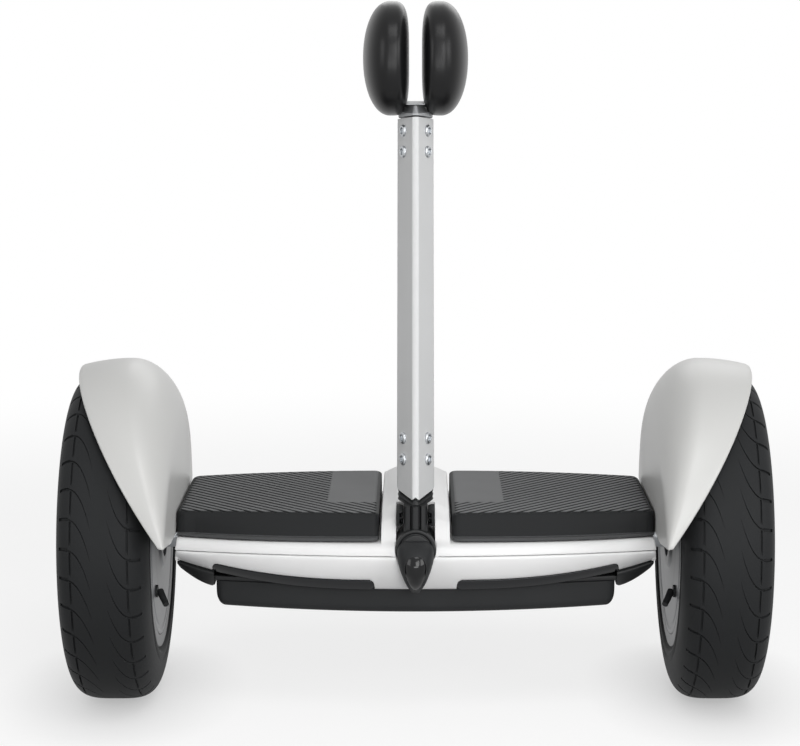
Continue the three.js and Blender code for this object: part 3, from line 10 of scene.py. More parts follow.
import bmesh
import bpy
import numpy as np
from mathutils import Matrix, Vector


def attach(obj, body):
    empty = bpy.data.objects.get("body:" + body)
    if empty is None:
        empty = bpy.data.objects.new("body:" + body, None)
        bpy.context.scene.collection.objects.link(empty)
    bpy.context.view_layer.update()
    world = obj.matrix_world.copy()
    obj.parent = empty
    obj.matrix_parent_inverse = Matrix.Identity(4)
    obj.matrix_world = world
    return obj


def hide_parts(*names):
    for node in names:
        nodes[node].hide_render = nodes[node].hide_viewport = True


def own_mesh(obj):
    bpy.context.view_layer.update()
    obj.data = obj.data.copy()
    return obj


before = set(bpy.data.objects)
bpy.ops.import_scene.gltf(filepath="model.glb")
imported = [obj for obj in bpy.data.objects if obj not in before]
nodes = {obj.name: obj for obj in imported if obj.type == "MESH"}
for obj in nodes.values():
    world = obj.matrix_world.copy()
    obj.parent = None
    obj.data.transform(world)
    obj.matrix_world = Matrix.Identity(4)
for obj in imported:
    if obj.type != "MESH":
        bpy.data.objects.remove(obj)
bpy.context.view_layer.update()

# Camera and studio.
# The camera stands 1.8 m in front of the axle, level with the top of the knee pads, and looks slightly down.
# A white floor runs out to a white surround, under soft lamps that give a plain, even level.

camera_place = (0.0, -1.832, 0.550)
camera_pitch = 8.91
camera_lens = 104.58
camera_shift = -0.01944

camera_data = bpy.data.cameras.new("studio_camera")
camera_data.lens = camera_lens
camera_data.shift_x = camera_shift
camera = bpy.data.objects.new("studio_camera", camera_data)
camera.location = camera_place
camera.rotation_euler = (math.radians(90 - camera_pitch), 0, 0)
bpy.context.scene.collection.objects.link(camera)
bpy.context.scene.camera = camera
bpy.context.scene.view_settings.view_transform = "Standard"


def colour(code):
    """The linear colour of an sRGB hex code: each channel is undone from the sRGB curve."""
    channels = np.array([int(code[k:k + 2], 16) for k in (1, 3, 5)]) / 255
    linear = np.where(channels <= 0.04045, channels / 12.92, ((channels + 0.055) / 1.055) ** 2.4)
    return (*linear.tolist(), 1.0)


def node(tree, kind, inputs=None, **settings):
    """Adds a shader node. An input that is a socket is linked, and any other is set as its value."""
    made = tree.nodes.new(kind)
    for key, value in settings.items():
        setattr(made, key, value)
    for key, value in (inputs or {}).items():
        if isinstance(value, bpy.types.NodeSocket):
            tree.links.new(value, made.inputs[key])
        else:
            made.inputs[key].default_value = value
    return made


def blank(name):
    """A new material, its empty node tree, and the object's coordinates in that tree."""
    material = bpy.data.materials.new(name)
    material.use_nodes = True
    tree = material.node_tree
    tree.nodes.clear()
    return material, tree, node(tree, "ShaderNodeTexCoord").outputs["Object"]


def seen_share(tree):
    """1 where the camera sees a surface, straight on, in a reflection or through glass, and 0 where the
    surface only lights the object."""
    rays = node(tree, "ShaderNodeLightPath").outputs
    share = rays["Is Camera Ray"]
    for kind in ("Is Glossy Ray", "Is Transmission Ray"):
        share = node(tree, "ShaderNodeMath", {0: share, 1: rays[kind]}, operation="MAXIMUM").outputs[0]
    return share


studio_white = colour("#ffffff")
surround_level = 0.2
world = bpy.data.worlds.new("studio_surround")
bpy.context.scene.world = world
world.use_nodes = True
sky = world.node_tree
sky.nodes.clear()
seen_level = node(sky, "ShaderNodeMapRange", {"Value": seen_share(sky), "To Min": surround_level,
                                              "To Max": 1.0})
glow = node(sky, "ShaderNodeBackground", {"Color": studio_white, "Strength": seen_level.outputs[0]})
node(sky, "ShaderNodeOutputWorld", {"Surface": glow.outputs[0]})

floor_half, floor_fade_from, floor_fade_to = 6.0, 0.75, 1.6
floor_glow, contact_share, contact_reach = 0.77, 0.55, 0.07
floor_mesh = bpy.data.meshes.new("studio_floor")
corners = [(-floor_half, -floor_half, 0), (floor_half, -floor_half, 0),
           (floor_half, floor_half, 0), (-floor_half, floor_half, 0)]
floor_mesh.from_pydata(corners, [], [(0, 1, 2, 3)])
floor = bpy.data.objects.new("studio_floor", floor_mesh)
bpy.context.scene.collection.objects.link(floor)

# Matt white paper. It glows a plain white to the camera and in reflections, so that it runs into the surround.
# Close under the object the glow is held back by a painted contact shadow, taken from ambient occlusion, and
# lamplight on it keeps the shadow.
paper, tree, place = blank("white_paper_floor")
reach = node(tree, "ShaderNodeVectorMath", {0: place}, operation="LENGTH").outputs["Value"]
fade = node(tree, "ShaderNodeMapRange", {"Value": reach, "From Min": floor_fade_from,
                                        "From Max": floor_fade_to}, interpolation_type="SMOOTHSTEP")
lit = node(tree, "ShaderNodeBsdfDiffuse", {"Color": colour("#8c8c8c")})
seen = seen_share(tree)
# Painted contact shadow: where ambient occlusion finds the object within reach, the glow falls to a share of
# itself.
painted_contact_shadow = node(tree, "ShaderNodeAmbientOcclusion", {"Distance": contact_reach})
kept = node(tree, "ShaderNodeMapRange", {"Value": painted_contact_shadow.outputs["AO"], "To Min": floor_glow * contact_share,
                                         "To Max": floor_glow})
glow = node(tree, "ShaderNodeMath", {0: kept.outputs[0], 1: seen}, operation="MULTIPLY")
lift = node(tree, "ShaderNodeEmission", {"Color": studio_white, "Strength": glow.outputs[0]})
near = node(tree, "ShaderNodeAddShader", {0: lit.outputs[0], 1: lift.outputs[0]})
level = node(tree, "ShaderNodeMapRange", {"Value": seen, "To Min": surround_level, "To Max": 1.0})
far = node(tree, "ShaderNodeEmission", {"Color": studio_white, "Strength": level.outputs[0]})
mixed = node(tree, "ShaderNodeMixShader", {0: fade.outputs[0], 1: near.outputs[0], 2: far.outputs[0]})
node(tree, "ShaderNodeOutputMaterial", {"Surface": mixed.outputs[0]})
floor_mesh.materials.append(paper)

# Each lamp: its place and aim in metres, its width and height, and its power in watts.
lamps = {
    "key_softbox": ((0.6, -2.2, 1.0), (0, 0, 0.25), (1.0, 0.9), 16.0),
    "high_softbox": ((0.3, -1.2, 2.0), (0, 0, 0.3), (0.9, 0.9), 11.0),
    "low_softbox": ((0.2, -2.2, 0.3), (0, 0, 0.18), (1.4, 0.3), 9.0),
    "left_softbox": ((-1.7, -1.3, 0.9), (0, 0, 0.25), (1.0, 1.0), 8.0),
    "right_softbox": ((1.7, -1.3, 0.9), (0, 0, 0.25), (1.0, 1.0), 13.0),
    "back_softbox": ((0.3, 2.2, 1.5), (0, 0, 0.25), (1.6, 1.2), 8.0),
}
for lamp_name, (stand, aim, size, power) in lamps.items():
    lamp = bpy.data.lights.new(lamp_name, "AREA")
    lamp.shape = "RECTANGLE"
    lamp.size, lamp.size_y = size
    lamp.energy = power
    lamp_object = bpy.data.objects.new(lamp_name, lamp)
    way = Vector(aim) - Vector(stand)
    lamp_object.rotation_euler = way.to_track_quat("-Z", "Y").to_euler()
    lamp_object.location = stand
    bpy.context.scene.collection.objects.link(lamp_object)

# Wheels: tyres.
# Moulded black rubber, tubeless, on a hub motor rim. The mould leaves two broken grooves round the tread,
# and in each half a row of curved sipes that run out to a short notch at the shoulder.

metres, merge_reach = 0.001, 0.02
sides = (("left", 1), ("right", -1))


def unit(vectors):
    """Vectors scaled to a length of one."""
    return vectors / np.maximum(np.linalg.norm(vectors, axis=-1, keepdims=True), 1e-9)


def full_turn(steps):
    """The angles of a full turn in equal steps, as one row, with the start again at the end."""
    return np.linspace(0, 2 * np.pi, steps + 1)[None, :]


def bend(start, corner, end, t):
    """A parabola from start to end, at shares t of its run, that heads for the corner on its way."""
    return (1 - t) ** 2 * start + 2 * t * (1 - t) * corner + t ** 2 * end


def softened(outline, radius, count=4):
    """Rounds the inner corners of an open outline: each becomes a parabola between its two sides."""
    outline = np.array(outline, float)
    before, corner, after = outline[:-2], outline[1:-1], outline[2:]
    radii = np.broadcast_to(radius, len(corner))
    start, end = [corner + unit(way) * np.minimum(radii, np.linalg.norm(way, axis=1) * 0.49)[:, None]
                  for way in (before - corner, after - corner)]
    bends = bend(start[:, None], corner[:, None], end[:, None], np.linspace(0, 1, count + 1)[None, :, None])
    return np.concatenate([outline[:1], bends.reshape(-1, outline.shape[1]), outline[-1:]])


def stacked(*parts):
    """Points from their x, y and z, each a number or an array."""
    return np.stack(np.broadcast_arrays(*parts), axis=-1)


def wheel_points(along, radius, angle):
    """Points at a place along the axle, a radius and an angle from the top towards the front."""
    return stacked(along, -radius * np.sin(angle), radius * np.cos(angle))


def turned(profile, count, centre):
    """A profile of (radius, along) rows turned about the axle's direction, as a closed grid."""
    radius, along = np.array(profile, float).T[:, :, None]
    return wheel_points(along, radius, full_turn(count)) + np.array(centre, float)


def close_up(mesh):
    """Merges the points of a mesh that meet and turns its faces outward."""
    shell = bmesh.new()
    shell.from_mesh(mesh)
    bmesh.ops.remove_doubles(shell, verts=shell.verts, dist=merge_reach * metres)
    bmesh.ops.recalc_face_normals(shell, faces=shell.faces)
    shell.to_mesh(mesh)
    shell.free()


def blank_shell(name, grids, caps=(), crease=35.0):
    """An object from grids of points in millimetres. Each grid becomes quads and each cap one flat face,
    borders and poles that meet are merged, and the faces of the closed shell are turned outward."""
    points, quads, first = [], [], 0
    for grid in grids:
        rows, columns = grid.shape[:2]
        number = first + np.arange(rows * columns).reshape(rows, columns)
        corners = (number[:-1, :-1], number[:-1, 1:], number[1:, 1:], number[1:, :-1])
        quads.append(np.stack(corners, axis=-1).reshape(-1, 4))
        points.append(grid.reshape(-1, 3))
        first += rows * columns
    faces = np.concatenate(quads).tolist()
    for cap in caps:
        faces.append(list(range(first, first + len(cap))))
        points.append(cap)
        first += len(cap)
    mesh = bpy.data.meshes.new(name)
    mesh.from_pydata(np.concatenate(points) * metres, [], faces)
    close_up(mesh)
    mesh.shade_smooth()
    mesh.set_sharp_from_angle(angle=math.radians(crease))
    made = bpy.data.objects.new(name, mesh)
    bpy.context.scene.collection.objects.link(made)
    return made


def piece(name, grids, finish, body, slot, stands_for=(), **settings):
    """One mesh from grids, with its material, the body that it rides and the CAD nodes it stands for."""
    made = blank_shell(name, grids, **settings)
    made.data.materials.append(finish)
    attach(made, body)
    if stands_for:
        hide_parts(*stands_for)
    return made


def pair(name, grids, finish, bodies, slot, caps=(), **settings):
    """A piece made for the left side at +X, and its mirror image for the right."""
    made = []
    for (side, sign), body in zip(sides, bodies):
        made.append(piece(f"{name}_{side}_skin", [grid * (sign, 1, 1) for grid in grids], finish, body, slot,
                          (f"{name}_{side}",), caps=[cap * (sign, 1, 1) for cap in caps], **settings))
    return made


wheel_bodies = ("wheel_left", "wheel_right")
wheel_x, axle_z = 238.5, 131.0
wheel_centre = (wheel_x, 0.0, axle_z)
tyre_radius, tyre_half = 131.0, 35.5
widest_radius, tread_roundness = 85.0, 3.8
flange_radius, bead_radius, bead_half, bead_width = 90.0, 84.5, 31.0, 7.0
casing = 9.0
pitches = 35
pitch = 2 * np.pi * tyre_radius / pitches
sipe_from, sipe_to, sipe_sweep, sipe_bend = 6.0, 27.0, 32.0, 2.6
sipe_offset, sipe_fade, sipe_clear = 55.7, 6.0, 3.5
sipe_width, sipe_depth = 0.9, 1.5
notch_from, notch_to, notch_width, notch_depth = 23.5, 30.5, 2.4, 2.3
groove_at, groove_width, groove_depth, groove_starts, groove_lasts = 21.5, 0.9, 1.5, 1.2, 0.72
edge_width, side_edge_width = 0.3, 0.25
shoulder_offset, sidewall_end, sidewall_pull, rib_height = 35.25, 97.0, 0.15, 0.245


def tread_radius(offset):
    """The height of the tread: a rounded-square curve from the crown down to the widest point."""
    share = np.clip(np.abs(offset) / tyre_half, 0, 1)
    height = (1 - share ** tread_roundness) ** (1 / tread_roundness)
    return widest_radius + (tyre_radius - widest_radius) * height


def sipe_run(offset):
    """How far round the tyre a sipe lies at an offset: flat at the notch, steep at its inner end."""
    share = np.clip((sipe_to - np.abs(offset)) / (sipe_to - sipe_from), 0, 1)
    left = sipe_sweep * share ** sipe_bend
    blend = np.clip((offset + sipe_from) / (2 * sipe_from), 0, 1)
    return left + (sipe_offset - 2 * left) * blend


def ramp(distance, half, edge):
    """1 inside a half width, falling to 0 over an edge."""
    return np.clip((half + edge - np.abs(distance)) / edge, 0, 1)


def tyre_grid():
    """The tyre's closed section swept round the axle. The columns are sheared to follow the sipes, and
    grooves, sipes and notches are taken off the tread's radius. Down the sidewalls, with their three low
    ribs, the shear of both sides is turned back to its mean, so that they meet inside."""
    near_groove = groove_at + np.array([-2.2, -0.75, -0.45, 0.45, 0.75, 2.2])
    near_notch = np.array([notch_from - edge_width, notch_from, notch_to, notch_to + edge_width])
    even = np.array([0, 2, 4, 5.7, 6, 7.5, 9, 11, 13, 15, 17, 18.5, 25, 26.5, 28, 29.2, 31.8, 32.8, 33.6, 34.2,
                     34.7, 35.05, shoulder_offset])
    half = np.sort(np.concatenate([even, near_groove, near_notch]))
    offset = np.concatenate([-half[:0:-1], half])[:, None]
    inside = np.array([-1.3, -1.05, -0.7, -0.45, 0.45, 0.7, 1.05, 1.3])
    between = np.linspace(sipe_clear, pitch - sipe_clear, 6)
    column = np.concatenate([inside, between])
    around = (np.arange(pitches)[:, None] * pitch + column[None, :]).ravel()
    across = np.tile(column, pitches)
    around = np.append(around, around[0] + pitches * pitch)[None, :]
    across = np.append(across, across[0])[None, :]
    size = np.abs(offset)
    sipe_span = np.clip((size - sipe_from) / sipe_fade, 0, 1) * (size < sipe_to + 1)
    sipe = sipe_depth * sipe_span * ramp(across, sipe_width / 2, side_edge_width)
    notch_middle, notch_half = (notch_from + notch_to) / 2, (notch_to - notch_from) / 2
    notch = notch_depth * ramp(size - notch_middle, notch_half, edge_width) * ramp(
        across, notch_width / 2 - 0.15, side_edge_width)
    lasting = (across > groove_starts) * (across < groove_lasts * pitch)
    groove = groove_depth * ramp(size - groove_at, groove_width / 2, edge_width) * lasting
    radius = tread_radius(offset) - np.maximum(np.maximum(sipe, notch), groove)
    angle = (around + sipe_run(offset)) / tyre_radius
    tread = wheel_points(offset, radius, angle)
    shoulder_radius = tread_radius(shoulder_offset)
    rib_share = np.array([0, 0.18, 0.25, 0.32, 0.42, 0.49, 0.56, 0.66, 0.73, 0.8, 1])
    rib_rise = rib_height * np.array([0, 0, 1, 0, 0, 1, 0, 0, 1, 0, 0])
    sidewall = np.stack([shoulder_radius - (shoulder_radius - sidewall_end) * rib_share,
                         shoulder_offset - sidewall_pull * rib_share + rib_rise], axis=1)
    bead = [(96.2, 35.45), (94.6, 35.35), (93.4, 34.7), (92.2, 32.6), (flange_radius + 0.5, bead_half + 0.3),
            (flange_radius - 1, bead_half), (bead_radius + 0.6, bead_half), (bead_radius, bead_half - 0.6),
            (bead_radius, bead_half - bead_width), (flange_radius + casing, tyre_half - casing - 1),
            (tyre_radius - casing * 2, tyre_half - casing - 1), (tyre_radius - casing, tyre_half - casing * 2),
            (tyre_radius - casing, 0)]
    inner = np.concatenate([sidewall[1:], bead])
    turned_back = np.linspace(0, 1, len(inner))[:, None]
    shears = [sipe_run(np.array([[end]])) for end in (tyre_half, -tyre_half)]
    runs = [shear * (1 - turned_back) + (shears[0] + shears[1]) / 2 * turned_back for shear in shears]
    right = wheel_points(inner[:, 1:], inner[:, :1], (around + runs[0]) / tyre_radius)
    left = wheel_points(-inner[::-1, 1:], inner[::-1, :1], (around + runs[1][::-1]) / tyre_radius)
    return left, np.concatenate([left[-1:], tread, right[:1]]), right


# Moulded tyre rubber: matt black with a faint grey bloom, and a fine mould grain on the sidewalls.
tyre_finish, tree, place = blank("moulded_tyre_rubber")
bloom = node(tree, "ShaderNodeTexNoise", {"Vector": place, "Scale": 28.0, "Detail": 5.0, "Roughness": 0.6})
shade = node(tree, "ShaderNodeMix", {0: bloom.outputs["Fac"], 6: colour("#232425"), 7: colour("#2a2b2c")},
             data_type="RGBA")
# Mould grain is about 0.15 mm on the real tyre, drawn at 0.6 mm so that it shows.
grain = node(tree, "ShaderNodeTexNoise", {"Vector": place, "Scale": 1 / 0.0006, "Detail": 2.0})
matt = node(tree, "ShaderNodeMapRange", {"Value": bloom.outputs["Fac"], "To Min": 0.56, "To Max": 0.66})
bump = node(tree, "ShaderNodeBump", {"Height": grain.outputs["Fac"], "Strength": 0.06, "Distance": 0.0003})
rubber = node(tree, "ShaderNodeBsdfPrincipled", {
    "Base Color": shade.outputs[2], "Roughness": matt.outputs[0], "IOR": 1.52, "Specular IOR Level": 0.1,
    "Normal": bump.outputs[0]})
node(tree, "ShaderNodeOutputMaterial", {"Surface": rubber.outputs[0]})

for side, sign in sides:
    shell = [grid + np.array([sign * wheel_x, 0, axle_z]) for grid in tyre_grid()]
    piece(f"tyre_{side}_tread", shell, tyre_finish, f"wheel_{side}", "tyre_rubber", (f"tyre_{side}",),
          crease=30)

# Wheels: rims and motor covers.
# The hub motor's rim is a machined aluminium casting, painted dark grey. Its inboard cover is a paler
# plate pressed into a seat, and the outboard face is a dark web with a ring of screws and a domed cap.

gap = 0.3
barrel_radius, seat_radius, cover_seat = 78.0, 84.0, 80.0
flange_in, flange_out, cover_back = 31.3, 33.8, 28.8
web_from, web_to, boss_bore, boss_wall, bearing_width = 22.0, 27.0, 17.3, 7.0, 8.0
cap_radius = 59.5


def skinned(name, shades, cloud, surface, grain=None):
    """A skin that drifts between two shades in clouds of a scale and a detail. Its surface holds the
    shader's own values, and its grain a texture's kind and values, the bump's strength and its depth."""
    made, tree, place = blank(name)
    drift = node(tree, "ShaderNodeTexNoise", {"Vector": place, "Scale": cloud[0], "Detail": cloud[1]})
    tint = node(tree, "ShaderNodeMix", {0: drift.outputs["Fac"], 6: colour(shades[0]), 7: colour(shades[1])},
                data_type="RGBA")
    surface = {"Base Color": tint.outputs[2], **surface}
    if grain:
        kind, values, strength, depth = grain
        height = node(tree, kind, {"Vector": place, **values}).outputs[0]
        bump = node(tree, "ShaderNodeBump", {"Height": height, "Strength": strength, "Distance": depth})
        surface["Normal"] = bump.outputs[0]
    skin = node(tree, "ShaderNodeBsdfPrincipled", surface)
    node(tree, "ShaderNodeOutputMaterial", {"Surface": skin.outputs[0]})
    return made


def coated(name, base, other, roughness, metallic=0.0):
    """A sprayed coat or a smooth moulding, even but for waves like orange peel about 1.5 mm long."""
    peel = ("ShaderNodeTexNoise", {"Scale": 1 / 0.0015, "Detail": 1.0}, 0.05, 0.0002)
    return skinned(name, (base, other), (22.0, 4.0), {"Roughness": roughness, "Metallic": metallic}, peel)


# Painted aluminium: a dark satin grey on the rims, and a paler one on the covers pressed into them.
rim_paint = coated("painted_aluminium_dark", "#3a3b3d", "#434447", 0.38, 0.5)
cover_paint = coated("painted_aluminium_pale", "#77787a", "#828385", 0.42, 0.3)

rim_profile = np.concatenate([[[0.0, web_from + gap]], softened([
    (boss_bore, web_from + gap), (boss_bore, web_from - bearing_width),
    (boss_bore + boss_wall, web_from - bearing_width), (boss_bore + boss_wall, web_from),
    (barrel_radius, web_from), (barrel_radius, -cover_back), (cover_seat, -cover_back),
    (cover_seat, -flange_out), (flange_radius, -flange_out), (flange_radius, -flange_in),
    (seat_radius, -flange_in), (seat_radius, flange_in), (flange_radius, flange_in),
    (flange_radius, flange_out), (barrel_radius + 3, flange_out), (barrel_radius, flange_out - 0.5),
    (cap_radius + 4, web_to + 1), (cap_radius, web_to), (cap_radius, web_to + 2.5),
    (cap_radius - 6, web_to + 3.2), (cap_radius / 2, web_to + 4.6), (0.0, web_to + 5)], 1.1, 3)])

# The screws of the outboard face: pan heads with a round recess, as rows of (radius, height).
hub_screws, screw_circle, screw_seat = 8, 69.0, 29.0
screw_turn = full_turn(36)
screw_profile = np.array([(0, 0.0), (3.6, 0.0), (3.6, 3.2), (3.3, 3.8), (2.6, 4.1), (1.5, 4.1), (1.4, 3.2),
                          (0, 3.0)])
hub_grids = [turned(rim_profile, 120, wheel_centre)]
for number in range(hub_screws):
    angle = 2 * np.pi * (number + 0.5) / hub_screws
    across, out = screw_profile.T[:, :, None]
    hub_grids.append(stacked(
        wheel_x + screw_seat + out,
        screw_circle * math.sin(angle) + across * np.sin(screw_turn),
        axle_z + screw_circle * math.cos(angle) + across * np.cos(screw_turn)))
pair("rim", hub_grids, rim_paint, wheel_bodies, "hub_metal", crease=40)

cover_edge, cover_face = cover_seat - gap, -cover_back - gap
cover_profile = softened([
    (boss_bore + 1, cover_face), (cover_edge, cover_face), (cover_edge, -flange_out),
    (cover_edge - 3, -flange_out), (cover_edge - 4, -flange_out + 0.8), (cover_edge - 7, -flange_out + 0.8),
    (cover_edge - 8, -flange_out), (cover_edge * 0.62, -flange_out), (cover_edge * 0.55, -flange_out - 0.4),
    (boss_bore + boss_wall + 3, -flange_out - 0.6), (boss_bore + boss_wall, -flange_out - 2.5),
    (boss_bore, -flange_out - 2.5), (boss_bore, cover_face), (boss_bore + 1, cover_face)], 0.6, 3)
pair("hub_cover", [turned(cover_profile, 120, wheel_centre)], cover_paint, wheel_bodies, "hub_metal", crease=40)


def bare_metal(name, code, kind, values, low, high, **settings):
    """Bare metal, whose roughness runs from low to high over a texture of marks."""
    made, tree, place = blank(name)
    marks = node(tree, kind, {"Vector": place, **values}, **settings)
    gloss = node(tree, "ShaderNodeMapRange", {"Value": marks.outputs["Fac"], "To Min": low, "To Max": high})
    metal = node(tree, "ShaderNodeBsdfPrincipled", {
        "Base Color": colour(code), "Roughness": gloss.outputs[0], "Metallic": 1.0})
    node(tree, "ShaderNodeOutputMaterial", {"Surface": metal.outputs[0]})
    return made


# Bearing steel and the axle's turned steel: bright, with turning marks. They lie about 0.3 mm apart, drawn at
# 6 mm so that they show.
turned_steel = bare_metal("turned_steel", "#a8abae", "ShaderNodeTexWave",
                          {"Scale": 1 / 0.02, "Distortion": 0.5}, 0.28, 0.4, bands_direction="X")

# Enamelled copper wire: a warm brown gloss, with a painted highlight, a lighter streak, along each turn of
# wire.
copper_wire, tree, place = blank("enamelled_copper_wire")
# The wire is about 1 mm thick, drawn at 6 mm so that its turns show.
turns = node(tree, "ShaderNodeTexWave", {"Vector": place, "Scale": 1 / 0.02, "Distortion": 1.5},
             bands_direction="X")
# Painted highlight: the colour runs from dark brown to bright copper across each turn.
tint = node(tree, "ShaderNodeMix", {0: turns.outputs["Fac"], 6: colour("#6e3718"), 7: colour("#b5652f")},
            data_type="RGBA")
bump = node(tree, "ShaderNodeBump", {"Height": turns.outputs["Fac"], "Strength": 0.3, "Distance": 0.0004})
wire = node(tree, "ShaderNodeBsdfPrincipled", {
    "Base Color": tint.outputs[2], "Roughness": 0.34, "Metallic": 1.0, "Normal": bump.outputs[0]})
node(tree, "ShaderNodeOutputMaterial", {"Surface": wire.outputs[0]})

# Valve rubber: a matt black sleeve, paler where it is rubbed.
valve_rubber = skinned("valve_rubber", ("#161718", "#2b2c2d"), (150.0, 3.0),
                       {"Roughness": 0.6, "IOR": 1.5, "Specular IOR Level": 0.2})


def dress(node_name, finish):
    """Gives a CAD solid that stays in the looks its own material."""
    nodes[node_name].data.materials.clear()
    nodes[node_name].data.materials.append(finish)


for side in ("left", "right"):
    dress(f"axle_{side}", turned_steel)
    dress(f"bearing_inner_{side}", turned_steel)
    dress(f"bearing_outer_{side}", turned_steel)
    dress(f"stator_{side}", copper_wire)
    dress(f"valve_{side}", valve_rubber)

# Fenders.
# Each fender is one injection moulded shell of painted ABS, screwed to the end of the deck. A flat wall
# stands between rider and wheel, a round shoulder turns over the tyre, and both ends run to a tip.

fender_wall_x, fender_outer_x, fender_radius, fender_wall = 187.5, 265.2, 142.5, 2.5
fender_end, fender_end_clear, fender_narrowing, fender_tip = 82.0, 0.6, 1.95, 3.0
fender_low_z = 145.0
fender_flare, fender_flare_y, fender_flare_power = 5.5, 52.0, 1.3
shoulder_rise, shoulder_rise_tip, crown_share, crown_drop = 58.0, 3.0, 0.52, 4.7


def fender_grid():
    """For each angle round the wheel the section is a straight wall, a quarter ellipse up to the crown
    and a parabola falling to the outer edge. Its width closes to the tip by a power of the angle, and
    behind the axle the whole section moves outwards by a power of the distance."""
    angle = np.linspace(fender_end_clear - fender_end, fender_end - fender_end_clear, 151)[:, None]
    opened = 1 - (np.abs(angle) / fender_end) ** fender_narrowing
    width = fender_tip + (fender_outer_x - fender_wall_x - fender_tip) * opened
    rise = shoulder_rise_tip + (shoulder_rise - shoulder_rise_tip) * opened
    turn = np.radians(angle)
    low = (fender_low_z - axle_z) / np.cos(turn)
    crease = fender_radius - rise
    up = np.linspace(0, 1, 9)[None, :-1]
    round_turn = np.linspace(0, np.pi / 2, 25)[None, :]
    out = np.linspace(0, 1, 13)[None, 1:]
    crown = width * crown_share
    x = np.concatenate([fender_wall_x + 0 * (up + width), fender_wall_x + crown * (1 - np.cos(round_turn)),
                        fender_wall_x + crown + (width - crown) * out], axis=1)
    radius = np.concatenate([low + (crease - low) * up, crease + rise * np.sin(round_turn),
                             fender_radius - crown_drop * opened * out ** 2], axis=1)
    y = -radius * np.sin(turn)
    behind = np.maximum(y - fender_flare_y, 0) / (fender_radius - fender_flare_y)
    flare = fender_flare * behind ** fender_flare_power
    return stacked(x + flare, y, axle_z + radius * np.cos(turn))


def walled(outer, wall):
    """A sheet given a wall: the grid, the same grid moved inward along its normals, half-round edges
    between the two, and a quarter ball at each corner."""
    normal = unit(np.cross(np.gradient(outer, axis=1), np.gradient(outer, axis=0)))
    inner = outer + normal * wall
    turn = np.linspace(0, np.pi, 6)[None, :, None]
    centre, toward = (outer + inner) / 2, (outer - inner) / 2
    past = {"first_row": (np.s_[0, :], outer[0] - outer[1]), "last_row": (np.s_[-1, :], outer[-1] - outer[-2]),
            "first_column": (np.s_[:, 0], outer[:, 0] - outer[:, 1]),
            "last_column": (np.s_[:, -1], outer[:, -1] - outer[:, -2])}
    made = [outer, inner]
    along = {}
    for border, (where, step) in past.items():
        square = unit(step - (step * unit(toward[where])).sum(-1, keepdims=True) * unit(toward[where]))
        along[border] = square * wall / 2
        made.append(centre[where][:, None] + toward[where][:, None] * np.cos(turn)
                    + along[border][:, None] * np.sin(turn))
    swing = np.linspace(0, np.pi / 2, 4)[:, None, None]
    corners = ((0, 0, "first_row", "first_column"), (0, -1, "first_row", "last_column"),
               (-1, 0, "last_row", "first_column"), (-1, -1, "last_row", "last_column"))
    for row, column, row_name, column_name in corners:
        side = along[row_name][column] * np.cos(swing) + along[column_name][row] * np.sin(swing)
        made.append(centre[row, column] + toward[row, column] * np.cos(turn) + side * np.sin(turn))
    return made


def painted_abs(name, base, other):
    """A sprayed gloss coat over a smooth moulding, with a trace of orange peel."""
    made, tree, place = blank(name)
    drift = node(tree, "ShaderNodeTexNoise", {"Vector": place, "Scale": 9.0, "Detail": 3.0})
    tint = node(tree, "ShaderNodeMix", {0: drift.outputs["Fac"], 6: colour(base), 7: colour(other)},
                data_type="RGBA")
    # Orange peel on a sprayed coat has waves of about 2 mm.
    peel = node(tree, "ShaderNodeTexNoise", {"Vector": place, "Scale": 1 / 0.002, "Detail": 1.0})
    bump = node(tree, "ShaderNodeBump", {"Height": peel.outputs["Fac"], "Strength": 0.03, "Distance": 0.0002})
    gloss = node(tree, "ShaderNodeMapRange", {"Value": drift.outputs["Fac"], "To Min": 0.34, "To Max": 0.4})
    coat = node(tree, "ShaderNodeBsdfPrincipled", {
        "Base Color": tint.outputs[2], "Roughness": gloss.outputs[0], "IOR": 1.5, "Normal": bump.outputs[0]})
    node(tree, "ShaderNodeOutputMaterial", {"Surface": coat.outputs[0]})
    return made


# The fenders are sprayed a warm pale silver white, and the deck a cleaner and brighter white. The fenders' grey
# is
# partly painted shade: it is darker than the deck to stand for the lesser light that falls on the fenders.
fender_paint = painted_abs("pale_silver_painted_abs", "#c9c9c7", "#cfcfcd")
white_paint = painted_abs("white_painted_abs", "#ebebeb", "#efefef")

deck_bodies = ("chassis", "chassis")
pair("fender", walled(fender_grid(), fender_wall), fender_paint, deck_bodies, "shell_white", crease=50)

# Chassis and battery.
# The chassis is a die-cast magnesium frame with a black coat: a plate under the deck, and a fin at each
# end that holds the axle. The battery hangs below in a moulded black case, bowed along its bottom.

deck_end, seam_z, deck_top_z, skirt_low_z = 187.2, 134.0, 142.5, 106.0
front_y, front_sweep, rear_y, rear_sweep = -90.0, 22.0, 124.0, 28.0
skirt_flat, skirt_rise, skirt_curve, skirt_tuck, skirt_belly = 32.0, 19.0, 2.4, 9.0, 1.2


def deck_front(x):
    """The deck's front edge in plan: a parabola that bows forward in the middle."""
    return front_y + front_sweep * (x / deck_end) ** 2


def deck_rear(x):
    """The deck's rear edge in plan: a parabola that bows rearward in the middle."""
    return rear_y - rear_sweep * (x / deck_end) ** 2


def skirt_low(x):
    """The skirt's lower edge: flat in the middle, then rising by a power of the distance."""
    share = np.maximum(np.abs(x) - skirt_flat, 0) / (deck_end - skirt_flat)
    return skirt_low_z + skirt_rise * share ** skirt_curve


def skirt_in(x, z):
    """How far the skirt's face lies behind the seam: a slight belly, then a parabola inward."""
    share = (seam_z - z) / (seam_z - skirt_low(x))
    return (skirt_tuck + skirt_belly) * share ** 2 - skirt_belly * share


